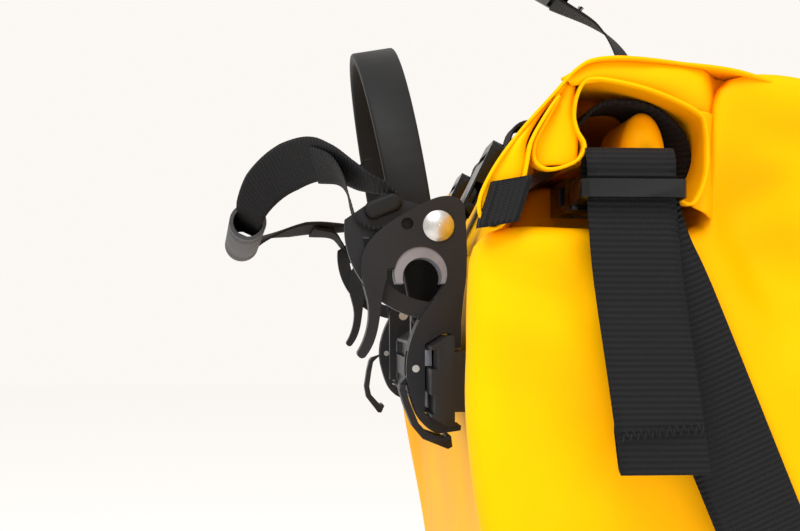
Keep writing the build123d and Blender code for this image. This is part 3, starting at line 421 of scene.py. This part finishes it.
def strap(name, path, across, widths, body, replaces=(), thickness=1.5):
    """A webbing strap, in millimetres: its path, the directions across it and its widths along the way."""
    widths = [widths] if isinstance(widths, (int, float)) else widths
    width = max(widths)
    length = spline(path, 8)[1]
    rows = max(8, int(length / RIB_MM * RIB_ROWS))
    line, length = spline(path, rows)
    aims = [Vector(a) for a in across]
    sides = [part_way(aims, r / rows) for r in range(rows + 1)]
    spans = [part_way(widths, r / rows) for r in range(rows + 1)]
    bm = bmesh.new()
    bmesh.ops.create_grid(bm, x_segments=rows, y_segments=STRAP_COLUMNS, size=0.5)
    layer = bm.loops.layers.uv.new("strap")
    spots = {v: (round((v.co.x + 0.5) * rows), v.co.y) for v in bm.verts}
    for face in bm.faces:
        for loop in face.loops:
            row, side = spots[loop.vert]
            loop[layer].uv = (row / rows * length * MM, side * width * MM)
    for vert, (row, side) in spots.items():
        before, after = line[max(row - 1, 0)], line[min(row + 1, rows)]
        run = (after - before).normalized()
        cross = sides[row].normalized()
        out = run.cross(cross).normalized()
        lift = RIB_HEIGHT * math.cos(2 * math.pi * row / RIB_ROWS) * 0.5
        lift *= 1.0 - 0.6 * (abs(side) * 2) ** 8
        vert.co = (line[row] + cross * side * spans[row] + out * lift) * MM
    bmesh.ops.solidify(bm, geom=bm.faces[:], thickness=thickness * MM)
    return piece(name, bm, webbing, body, replaces)


def bars(name, centre, along, across, width, count, pitch, body):
    """A bar tack: short raised stitches side by side across a strap, as the sewing machine leaves them."""
    bm = bmesh.new()
    centre, along, across = Vector(centre), Vector(along).normalized(), Vector(across).normalized()
    out = along.cross(across).normalized()
    for i in range(count):
        side = (i / (count - 1) - 0.5) * width
        slant = pitch if i % 2 else -pitch
        middle = centre + across * side
        made = bmesh.ops.create_cube(bm, size=1.0)
        for vert in made["verts"]:
            x, y, z = vert.co
            vert.co = (middle + along * (slant * 0.4 + y * pitch * 1.6) + across * (x * 0.5 + y * slant * 0.5)
                       + out * (z * 0.5)) * MM
    bmesh.ops.bevel(bm, geom=bm.edges[:], offset=0.12 * MM, segments=1, profile=0.5, affect="EDGES",
                    material=-1)
    return piece(name, bm, webbing, body)


# %% [markdown]
# ## The bag
# The body is one tube of tarpaulin with welded ends. It starts as a finely divided cube. Each point
# is carried to the bag's side profile and width, the end seams are rounded, and then the sag and the
# folds of an empty bag are pressed in.

# %% Bag body
BACK_Y, SHOULDER_Z, BASE_HALF, TOP_HALF = 95.5, 352.0, 115.0, 160.0
BODY_CENTRE = Vector((0.0, 0.0, 300.0))
PROFILE = [
    (0, 0, 0.4), (0, 62, 0.4), (0, 69.5, 6), (0, 82, 140), (0, 94.3, 290), (0, 94.8, 340), (0, 94.4, 356),
    (0, 93.2, 365.5), (0, 88, 371.2), (0, 76, 373.2), (0, 45, 372.8), (0, 35, 375), (0, 33.8, 392),
    (0, 33.2, 405), (0, 31.0, 412.5), (0, 25, 416.4), (0, 12, 416.8), (0, -6, 413.0), (0, -28, 403),
    (0, -48, 386), (0, -64, 358), (0, -71.5, 318), (0, -71.5, 180), (0, -69.5, 8), (0, -62, 0.4),
    (0, 0, 0.4),
]
PROFILE_STEPS = 320
profile, _ = spline(PROFILE, PROFILE_STEPS)
profile_angle = [math.atan2(p.z - BODY_CENTRE.z, p.y - BODY_CENTRE.y) for p in profile]


def half_width(z):
    return BASE_HALF + (TOP_HALF - BASE_HALF) * min(max(z, 0.0), SHOULDER_Z) / SHOULDER_Z


def on_profile(t):
    at = (t % 1.0) * PROFILE_STEPS
    low = int(at) % PROFILE_STEPS
    return profile[low].lerp(profile[low + 1], at - int(at))


def smooth_step(low, high, value):
    t = min(max((value - low) / (high - low), 0.0), 1.0)
    return t * t * (3 - 2 * t)


def crease(y, z, start, end, width, depth):
    """A soft valley along a straight fold; returns how far the cloth moves in."""
    a, b, p = Vector(start), Vector(end), Vector((y, z))
    along = (b - a)
    t = min(max((p - a).dot(along) / along.length_squared, 0.0), 1.0)
    away = (p - a - along * t).length
    taper = math.sin(math.pi * min(max(t, 0.02), 0.98)) ** 0.6
    return depth * taper * math.exp(-(away / width) ** 2)


END_FOLDS = [
    ((26, 400), (8, 350), 12.0, 7.5),
    ((34, 378), (-8, 392), 6.0, 4.0),
    ((-6, 372), (-30, 300), 14.0, 6.0),
    ((96, 362), (62, 350), 4.5, 5.2),
    ((72, 370), (40, 352), 7.0, 4.9),
    ((92, 338), (66, 312), 9.0, 3.8),
    ((30, 404), (-40, 384), 5.5, 4.3),
    ((36, 384), (4, 340), 9.0, 5.2),
    ((22, 372), (-34, 330), 12.0, 4.6),
    ((60, 330), (20, 210), 22.0, 5.8),
    ((-20, 330), (-50, 220), 20.0, 4.9),
    ((60, 120), (-30, 90), 18.0, 4.3),
    ((-40, 90), (10, 40), 15.0, 3.6),
]
SEAM_R = 7.0
CORNER_BULGE, CORNER_LIFT = 8.5, 2.5
NECK_TOP_Z, FLOOR_GAP = 390.0, 0.2
CUBE_CUTS = 63


def bag_body():
    bm = bmesh.new()
    bmesh.ops.create_cube(bm, size=2.0)
    bmesh.ops.subdivide_edges(bm, edges=bm.edges[:], cuts=CUBE_CUTS, use_grid_fill=True)
    for vert in bm.verts:
        a, b, c = vert.co
        ring = max(abs(b), abs(c))
        if ring < 1e-6:
            b, c, ring = 0.0, -1e-6, 1e-6
        if abs(c) >= abs(b):
            t = (b / ring + 1) / 8 if c < 0 else 0.5 + (1 - b / ring) / 8
        else:
            t = 0.25 + (c / ring + 1) / 8 if b > 0 else 0.75 + (1 - c / ring) / 8
        edge = on_profile(t - 0.125)
        reach = edge - BODY_CENTRE
        span = reach.length
        half = half_width(BODY_CENTRE.z + reach.z * ring)
        seam = SEAM_R * (1 - 0.75 * smooth_step(372.0, 398.0, edge.z))
        if abs(a) > 0.999:
            inset = (1 - ring) * span
            turn = math.pi / 4 * (1 + min(inset / seam, 1.0))
            depth = seam * (1 - math.cos(turn)) if inset < seam else inset
            x = half - seam + seam * math.sin(turn)
        else:
            over = max(abs(a) * half - (half - seam), 0.0) / seam
            turn = math.pi / 4 * over
            depth = seam * (1 - math.cos(turn))
            x = abs(a) * half if over == 0 else half - seam + seam * math.sin(turn)
        spot = BODY_CENTRE + reach.normalized() * max(span - depth, 0.0)
        spot.x = math.copysign(x, a) if abs(a) > 1e-9 else 0.0
        vert.co = spot
    for vert in bm.verts:
        x, y, z = vert.co
        side = 1 if x > 0 else -1
        close = smooth_step(0.86, 1.0, abs(x) / half_width(z))
        sink = sum(crease(y, z, *fold) for fold in END_FOLDS) * close
        sink += 1.1 * noise.noise(Vector((y, z, side * 40)) / 42.0) * close
        vert.co.x -= side * (sink + 0.4 * close)
        free = smooth_step(6.0, 60.0, z)
        out = Vector((0, y, 0)).normalized() if abs(y) > 1 else Vector((0, 1, 0))
        front = smooth_step(10.0, -60.0, y)
        vert.co.y += front * free * (2.2 * noise.noise(Vector((x, z, 7.0)) / 70.0) + 1.0)
        back = smooth_step(60.0, 92.0, y)
        vert.co.y -= back * free * 0.5 * (1 + noise.noise(Vector((x, z, 90.0)) / 60.0))
        corner = smooth_step(118.0, 148.0, abs(x)) * smooth_step(215.0, 335.0, z) * smooth_step(72.0, 95.0, y)
        vert.co.y += CORNER_BULGE * corner
        vert.co.z += CORNER_LIFT * corner * smooth_step(350.0, 366.0, z)
        # Between the hooks the neck of the bag rises under the roll.
        neck = smooth_step(126.0, 106.0, abs(x)) * smooth_step(362.0, 371.5, z) * smooth_step(395.0, 380.0, z)
        neck_top = NECK_TOP_Z - 16.0 * smooth_step(76.0, 90.0, y)
        vert.co.z += max(neck_top - vert.co.z, 0.0) * neck * smooth_step(35.0, 40.0, y)
        top = smooth_step(392.0, 412.0, z)
        vert.co.z += top * 1.4 * noise.noise(Vector((x, y, 30.0)) / 55.0)
        vert.co.z = max(vert.co.z, FLOOR_GAP)
        vert.co *= MM
    bmesh.ops.smooth_vert(bm, verts=bm.verts[:], factor=0.5, use_axis_x=True, use_axis_y=True,
                          use_axis_z=True)
    print("the body's lowest point is", round(min(v.co.z for v in bm.verts) / MM, 2), "mm above the floor")
    return piece("bag_body_fabric", bm, yellow, "bag", ["bag_shell"])


body_fabric = bag_body()
print("bag body faces:", len(body_fabric.data.polygons))

# %% [markdown]
# ## The rolled mouth
# The mouth of the bag is rolled towards the rack. One sheet comes over the top of the bag, turns
# down the slope to the flap's foot, doubles back inside, and closes round the open tunnel of the roll.

# %% Rolled mouth
ROLL_NEAR = [
    (6, 411.0), (20, 415.2), (34, 418.0), (54, 419.8), (67, 419.4), (73, 416.6), (79.6, 409.5), (88, 400),
    (95.4, 390), (99.8, 381), (99.6, 375.4), (96.8, 372.6), (92.4, 375.6), (89.4, 383), (88.0, 390),
    (86.6, 397), (82.6, 404.4), (79.0, 409.6), (77.8, 409.4), (80.6, 404), (84.2, 397), (84.6, 392.0),
    (81.6, 389.8), (77, 390.4), (72.8, 392.4), (71.2, 396), (73.2, 400), (74.0, 405), (73.0, 410.6),
    (70, 414.6), (62, 414.0), (50, 410.8), (38.4, 405.6), (35.8, 401), (35.2, 394), (36.4, 385.6),
    (40, 379.0), (44.6, 380.4), (51, 387), (60, 391.2), (69, 392.4),
]
ROLL_MIDDLE = [
    (6, 411.0), (20, 415.2), (34, 417.8), (54, 418.9), (66, 418.2), (71.4, 415.4), (76, 406), (81, 396),
    (86.6, 384.6), (91.2, 374.6), (91.6, 371.2), (89.0, 370.2), (86.4, 374), (83.2, 381), (80.0, 388.4),
    (78.2, 395), (77.2, 399.6), (76.0, 399.8), (75.6, 396.8), (74.4, 395.4), (73.2, 397), (73.0, 401.4),
    (73.2, 406), (72.4, 410.4), (69.4, 414.0), (62, 414.4), (50, 411.6), (38.8, 407.4), (36.6, 403),
    (36.4, 398), (37.6, 394.6), (40.4, 393.2), (45, 392.8), (52, 392.8), (60, 393.0), (69, 393.4),
]
ROLL_ALONG, ROLL_ACROSS = 240, 110


def rolled_mouth():
    near, _ = spline([(0, y, z) for y, z in ROLL_NEAR], ROLL_ALONG)
    middle, cut_length = spline([(0, y, z) for y, z in ROLL_MIDDLE], ROLL_ALONG)
    bm = bmesh.new()
    bmesh.ops.create_grid(bm, x_segments=ROLL_ALONG, y_segments=ROLL_ACROSS, size=1.0)
    for vert in bm.verts:
        row = round((vert.co.x + 1) / 2 * ROLL_ALONG)
        across = vert.co.y
        to_end = smooth_step(0.66, 1.0, abs(across))
        spot = middle[row].lerp(near[row], to_end)
        share = row / ROLL_ALONG
        start = smooth_step(0.0, 0.08, share)
        x = across * (TOP_HALF - 2.0 * (1 - start))
        x += math.copysign(2.2 * math.sin(share * 23.0) * to_end - 1.0, across) * start
        wave = noise.noise(Vector((x / 46.0, share * 9.0, 3.0)))
        sag = 1.2 * noise.noise(Vector((x / 90.0, share * 4.0, 11.0)))
        spot = spot + Vector((0, 0.4 * wave, 0.8 * wave + sag)) * smooth_step(0.04, 0.12, share) * (
            1 - 0.7 * smooth_step(0.12, 0.2, share))
        vert.co = Vector((x, spot.y, spot.z)) * MM
    bmesh.ops.recalc_face_normals(bm, faces=bm.faces)
    thicken(bm)
    print("the mouth's sheet is", round(2 * TOP_HALF), "by", round(cut_length), "mm before it is rolled")
    return piece("rolled_mouth_fabric", bm, yellow, "bag", ["roll_closure"]), cut_length


mouth, mouth_length = rolled_mouth()

# %% [markdown]
# At each end of the roll the coated cloth is folded shut like an envelope. One face closes the flap, one
# closes the fold inside it, one runs from the ridge down to the bag's end panel, and one joins the
# rim's side to that panel. Towards the panel they tuck under its surface.

# %% Folded ends of the roll
FOLD_ALONG, FOLD_ACROSS = 36, 12
TUCK_UNDER = 8.0


def folded_end(name, side, one, two, x_start, x_end, bulge):
    """A soft face between two edges given in (y, z), swelling outwards along the bag."""
    first, _ = spline([(0, y, z) for y, z in one], FOLD_ALONG)
    second, _ = spline([(0, y, z) for y, z in two], FOLD_ALONG)
    bm = bmesh.new()
    bmesh.ops.create_grid(bm, x_segments=FOLD_ALONG, y_segments=FOLD_ACROSS, size=1.0)
    for vert in bm.verts:
        t, v = (vert.co.x + 1) / 2, (vert.co.y + 1) / 2
        row = round(t * FOLD_ALONG)
        spot = first[row].lerp(second[row], v)
        swell = math.sin(math.pi * v) * math.sin(math.pi * (0.08 + 0.84 * t)) ** 0.5
        x = x_start + (x_end - x_start) * t + bulge * swell
        x += 0.7 * noise.noise(Vector((spot.y, spot.z, 5.0)) / 9.0) * swell
        x -= TUCK_UNDER * smooth_step(37.5, 29.5, spot.y)
        vert.co = Vector((side * x, spot.y, spot.z)) * MM
    bmesh.ops.recalc_face_normals(bm, faces=bm.faces)
    thicken(bm)
    end = "left" if side < 0 else "right"
    return piece(f"{name}_{end}", bm, yellow, "bag")


for side in (-1, 1):
    folded_end("flap_end_face", side,
               [(75.8, 414.4), (80.4, 409), (88.2, 400.2), (95.6, 390.2), (99.9, 381), (99.0, 374.6)],
               [(74.6, 413.6), (79.0, 408.6), (82.8, 404.2), (86.8, 397), (88.2, 388), (92.6, 375.4)],
               158.6, 159.8, 1.0)
    folded_end("inner_fold_face", side, [(76.4, 413.4), (80.8, 404), (84.6, 397), (84.8, 390.0)],
               [(72.6, 413.6), (73.6, 405), (72.2, 399), (72.6, 390.6)], 158.2, 157.8, 2.2)
    folded_end("ridge_end_face", side,
               [(77.2, 414.0), (68, 418.8), (54, 419.6), (34, 417.8), (20, 415.0), (4, 410.2)],
               [(74.4, 413.2), (63, 414.2), (50, 410.8), (38.0, 405.4), (29, 402.6), (8, 402.0)],
               159.8, 155.6, 1.6)
    folded_end("rim_side_face", side, [(38.6, 406.0), (35.9, 401), (35.3, 394), (36.5, 385.6), (39.8, 379)],
               [(31.5, 405.0), (30.5, 400), (30.0, 393), (30.0, 384), (31.5, 375)], 159.8, 157.2, 0.4)

# %% [markdown]
# Inside the open end of the roll the last turn of the mouth shows as a rounded lip, with the end
# tab of webbing arched over it on its way to the buckle.

# %% The lip inside the tunnel
LIP_START, LIP_HALF_LENGTH = 118.0, 17.0
LIP_Y, LIP_Z, LIP_HALF_WIDTH, LIP_HEIGHT = 51.0, 393.5, 5.8, 13.0


def tunnel_lip(side):
    bm = bmesh.new()
    bmesh.ops.create_grid(bm, x_segments=40, y_segments=40, size=1.0)
    for vert in bm.verts:
        turn = math.pi * (vert.co.x * 0.62 + 0.5)
        x = side * (LIP_START + (vert.co.y + 1) * LIP_HALF_LENGTH)
        cap = min((1 - vert.co.y) / 0.32, 1.0)
        swell = math.sqrt(max(1 - (1 - cap) ** 2, 0.0))
        y = LIP_Y + LIP_HALF_WIDTH * math.cos(turn) * swell
        z = LIP_Z + LIP_HEIGHT * math.sin(turn) * swell
        vert.co = Vector((x, y, z)) * MM
    thicken(bm)
    return piece(f"tunnel_lip_{'left' if side < 0 else 'right'}", bm, yellow, "bag")


for side in (-1, 1):
    tunnel_lip(side)

# %% [markdown]
# ## Straps
# Every strap is a real band: its path, the direction across it and its width are given, and the
# ribs follow its length.

# %% End straps
END_Y = 58.4
strap("end_tab_arch_left", [(-141, 73.5, 396.5), (-141, 70, 404), (-141, 63, 410.2), (-141, 52, 409.6),
                            (-141, 45.4, 402), (-141, 44.6, 393), (-138, 46, 386.5), (-127, 52, 384)],
      [(1, 0, 0), (1, 0, 0), (0.6, 0.8, 0), (0, 1, 0)], 20.0, "bag", ["end_tab_left"])
strap("strap_tail_left_web",
      [(-154.8, END_Y, 384), (-155.2, END_Y, 390), (-157.6, END_Y, 394.4), (-161.4, END_Y, 394.8),
       (-163.6, END_Y, 391), (-163.6, END_Y, 384), (-164.2, END_Y, 377), (-165.6, END_Y - 1, 360),
       (-166.0, END_Y - 4.5, 334), (-165.6, END_Y - 8, 308.5), (-164.6, END_Y - 8.2, 306.8),
       (-163.4, END_Y - 8, 308.5), (-163.2, END_Y - 7, 318)],
      [(0, 1, 0)], [25.0, 25.0, 25.0], "end_plug", ["strap_tail_left"])
bars("tail_bar_tack_left", (-167.0, END_Y - 7.2, 316.5), (0, 0.1, 1), (0, 1, -0.1), 22.0, 23, 1.2, "end_plug")

LEAN = math.atan2(TOP_HALF - BASE_HALF, SHOULDER_Z)


def on_end_panel(side, y, z, out):
    """A point on an end panel at a height, held out from it."""
    return (side * (half_width(z) + out), y, z)


def side_run(side, top, body):
    rows = [(-42, 150), (-20, 200), (2, 250), (24, 300), (46, 350)]
    path = [on_end_panel(side, y, z, 1.5) for y, z in rows] + top
    return strap(f"side_strap_{'left' if side < 0 else 'right'}_web", path, [(0, -0.91, 0.40)], 25.0, body,
                 [f"side_strap_{'left' if side < 0 else 'right'}"])


side_run(-1, [(-162.4, 53.5, 366), (-162.0, 57.0, 379)],
         ("bag", "end_plug", (-0.155, 0.024, 0.300), (-0.162, 0.055, 0.368)))
side_run(1, [], "bag")

# %% [markdown]
# The far end is not buckled. Its tab stands up from the bag's crown with the socket at its tip, and it
# twists as stiff webbing does. Its loose plug lies on the side strap with the tail folded down.

# %% Far end
FAR_X = 138.0
strap("end_tab_right_web", [(FAR_X, -28, 408), (FAR_X, -25, 430), (FAR_X, -23, 456), (FAR_X, -18.5, 482),
                            (FAR_X, -5, 502.5), (FAR_X, 21, 517)],
      [(1, 0, 0), (0.9, -0.4, 0), (0.65, -0.75, 0.1), (0.75, -0.55, 0.3), (0.95, -0.2, 0.1), (1, 0, 0)],
      [25, 25, 23, 19, 20, 24], "bag", ["end_tab_right"])
bars("tab_bar_tack_right", (FAR_X, 8.0, 511.6), (0, 0.87, 0.5), (1, 0, 0), 20.0, 19, 1.2, "bag")
run_dir = Vector((math.sin(LEAN), 0.88, 2.0)).normalized()
run_side = Vector((0, 2.0, -0.88)).normalized()
far_foot = Vector(on_end_panel(1, 46, 350, 9.6))
strap("strap_tail_right_web",
      [far_foot + run_dir * 8.0, far_foot - run_dir * 30.0, far_foot - run_dir * 72.0],
      [run_side], 25.0, "bag", ["strap_tail_right"])
for side in (-1, 1):
    foot = Vector(on_end_panel(side, -42, 150, 3.0))
    out_run = Vector((side * math.sin(LEAN), 0.88, 2.0)).normalized()
    strap(f"strap_anchor_{'left' if side < 0 else 'right'}_web",
          [foot - out_run * 15, foot, foot + out_run * 15],
          [run_side], 34.0, "bag", ["strap_anchors"] if side < 0 else [], 1.0)

# %% [markdown]
# Two straps hold the roll down on the rack side. Each comes over the ridge to its socket, and a short
# tab joins the plug to the back panel.

# %% Rack-side straps
flap_out = off_slope("hem_patches")
print("the flap's rack-side face stands", round(flap_out, 2), "mm out from its foot line")


def on_slope(along, out, x):
    spot = SLOPE_FOOT + SLOPE_UP * along + SLOPE_OUT * (flap_out + out)
    return (x, spot.y, spot.z)


RACK_STRAP_X = 49.0
for side in (-1, 1):
    x, end = side * RACK_STRAP_X, "left" if side < 0 else "right"
    strap(f"roll_strap_{end}_web",
          [on_slope(40, 0.9, x), on_slope(46, 0.9, x), (x, 73.2, 418.4), (x, 66, 420.4), (x, 54, 420.7),
           (x, 44, 419.6)],
          [(1, 0, 0)], 20.0, "bag", ["roll_straps"] if side < 0 else [])
    strap(f"lower_tab_{end}_web", [on_slope(3, 1.2, x), on_slope(-3, 1.0, x), (x, 97.0, 362), (x, 96.4, 352),
                                   (x, 96.4, 343)], [(1, 0, 0)], 20.0,
          ("bag", f"roll_plug_{end}", (x * MM, 0.0965, 0.352), (x * MM, 0.096, 0.371)),
          ["lower_tabs"] if side < 0 else [], 1.3)

# %% [markdown]
# The flap's corner is bound with a folded patch of the same webbing.

# %% Corner binding
strap("hem_patch_web",
      [(-158.0, 99.2, 379.4), (-161.6, 98.8, 379.4), (-162.8, 96.8, 379.6), (-162.9, 92.4, 380.4),
       (-162.7, 89.0, 381.0), (-161.0, 87.7, 381.4), (-155, 87.3, 381.8)],
      [(0, -0.30, 0.95)], 12.5, "bag", ["hem_patches"], 1.1)

# %% [markdown]
# One pull strap opens both latches. It is sewn into a loop round each latch's knob, and both ends
# meet inside a rubber grip. A thread end is left at the sewn place.

# %% Pull strap
strap("pull_strap_near_web",
      [(-12, 174.2, 382.4), (-30, 172.3, 384.6), (-38, 171.4, 388.0), (-45, 167.2, 395.2),
       (-54, 158.8, 401.6), (-66, 148.0, 404.4), (-76, 139.4, 401.4), (-83, 132.6, 396.6),
       (-88.5, 127.6, 393.4), (-90, 122.4, 391.4), (-90, 118.2, 388.2)],
      [(0, -0.9, -0.4), (0.05, -0.8, -0.6), (0.15, -0.6, -0.8), (0.3, -0.4, -0.87), (0.5, -0.25, -0.85),
       (0.85, -0.1, -0.5), (1, 0, 0)],
      [9.5, 10.5, 15, 17, 16, 14.5, 11.5], "pull_left", ["pull_strap_left"], 1.2)
strap("pull_loop_near_web",
      [(-66, 147.2, 402.6), (-76, 140.0, 399.4), (-82, 136.4, 394.0), (-87, 134.6, 386.4),
       (-90, 132.4, 380.2), (-90, 127.4, 377.6), (-90, 122.6, 378.6)],
      [(0.5, -0.25, -0.85), (0.8, -0.2, -0.55), (1, 0, -0.1), (1, 0, 0)], [14, 13, 12, 11], "pull_left",
      [], 1.2)
strap("pull_strap_far_web",
      [(-14, 175.2, 380.6), (14, 177.4, 378.4), (24, 178.4, 378.4), (34, 175.0, 381.6), (48, 163.0, 386.6),
       (62, 149.4, 389.6), (76, 137.6, 390.8), (87, 128.6, 391.6), (90, 122.4, 391.2), (90, 118.2, 388.2)],
      [(0, -0.9, -0.4), (0, -0.9, -0.4), (-0.4, -0.85, 0.1), (-0.8, -0.5, 0.3), (-0.95, -0.2, 0.2),
       (-1, 0, 0)],
      [9, 9.5, 14, 16, 14, 11], "pull_right", ["pull_strap_right"], 1.2)
strap("pull_loop_far_web", [(62, 148.8, 388.0), (76, 139.2, 387.6), (84, 135.0, 383.6), (90, 132.0, 380.0),
                            (90, 127.4, 377.6), (90, 122.6, 378.6)],
      [(-0.95, -0.2, 0.2), (-1, 0, 0)], [14, 11], "pull_right", [], 1.2)
bars("pull_bar_tack_near", (-71.3, 143.4, 403.3), (-0.74, -0.64, -0.22), (0.5, -0.25, -0.85), 12.5, 13, 1.1,
     "pull_left")


def thread_end(name, path, thickness, body):
    """A cut end of sewing thread: a thin round skin along a curve."""
    line, _ = spline(path, 40)
    bm = bmesh.new()
    bmesh.ops.create_circle(bm, cap_ends=True, radius=1.0, segments=8)
    face = bm.faces[:]
    for i in range(1, len(line)):
        made = bmesh.ops.extrude_face_region(bm, geom=face)
        face = [g for g in made["geom"] if isinstance(g, bmesh.types.BMFace)]
        fresh = [g for g in made["geom"] if isinstance(g, bmesh.types.BMVert)]
        bmesh.ops.translate(bm, verts=fresh, vec=(0, 0, 1))
    for vert in bm.verts:
        row = round(vert.co.z)
        run = (line[min(row + 1, 40)] - line[max(row - 1, 0)]).normalized()
        one = run.orthogonal().normalized()
        two = run.cross(one)
        taper = 1.0 - 0.6 * row / 40
        vert.co = (line[row] + (one * vert.co.x + two * vert.co.y) * thickness / 2 * taper) * MM
    return piece(name, bm, webbing, body)


thread_end("sewing_thread_end",
           [(-79, 135.8, 399.4), (-79.5, 133.4, 400.6), (-80, 131.0, 400.0), (-80.5, 129.0, 401.8),
            (-81, 127.2, 402.0)],
           0.9, "pull_left")
bpy.context.view_layer.update()

# %% Camera
camera_data = bpy.data.cameras.new("camera")
camera = bpy.data.objects.new("camera", camera_data)
bpy.context.scene.collection.objects.link(camera)
camera_data.sensor_width = 36.0
camera_data.lens = 54.0
camera_data.clip_start = 0.01
camera.location = (-0.490, 0.144, 0.347)
view = Vector((1.0, -0.065, 0.0454))
camera.rotation_euler = view.to_track_quat("-Z", "Y").to_euler()
bpy.context.scene.camera = camera
bpy.context.scene.view_settings.view_transform = "Standard"

# %% Floor and lights
floor_bm = bmesh.new()
bmesh.ops.create_grid(floor_bm, x_segments=4, y_segments=4, size=6.0)
floor_mesh = bpy.data.meshes.new("floor")
floor_bm.to_mesh(floor_mesh)
floor_bm.free()
floor = bpy.data.objects.new("floor", floor_mesh)
bpy.context.scene.collection.objects.link(floor)
floor_finish, floor_tree, floor_bsdf = material("pale_studio_floor", 0.9)
floor_bsdf.inputs["Base Color"].default_value = colour("#FDFDFD")
floor_mesh.materials.append(floor_finish)

world = bpy.data.worlds.new("studio")
bpy.context.scene.world = world
world.use_nodes = True
world.node_tree.nodes["Background"].inputs["Color"].default_value = colour("#FFFBF7")
world.node_tree.nodes["Background"].inputs["Strength"].default_value = 0.97


def softbox(name, spot, aim, size, power):
    lamp = bpy.data.lights.new(name, "AREA")
    lamp.shape = "RECTANGLE"
    lamp.size, lamp.size_y = size
    lamp.energy = power
    obj = bpy.data.objects.new(name, lamp)
    bpy.context.scene.collection.objects.link(obj)
    obj.location = spot
    obj.rotation_euler = (Vector(aim) - Vector(spot)).to_track_quat("-Z", "Y").to_euler()


softbox("key_light", (-0.9, 0.5, 1.5), (0, 0, 0.3), (0.8, 0.8), 15.0)
softbox("fill_light", (-1.4, -0.7, 0.8), (0, 0, 0.35), (1.0, 1.0), 3.0)
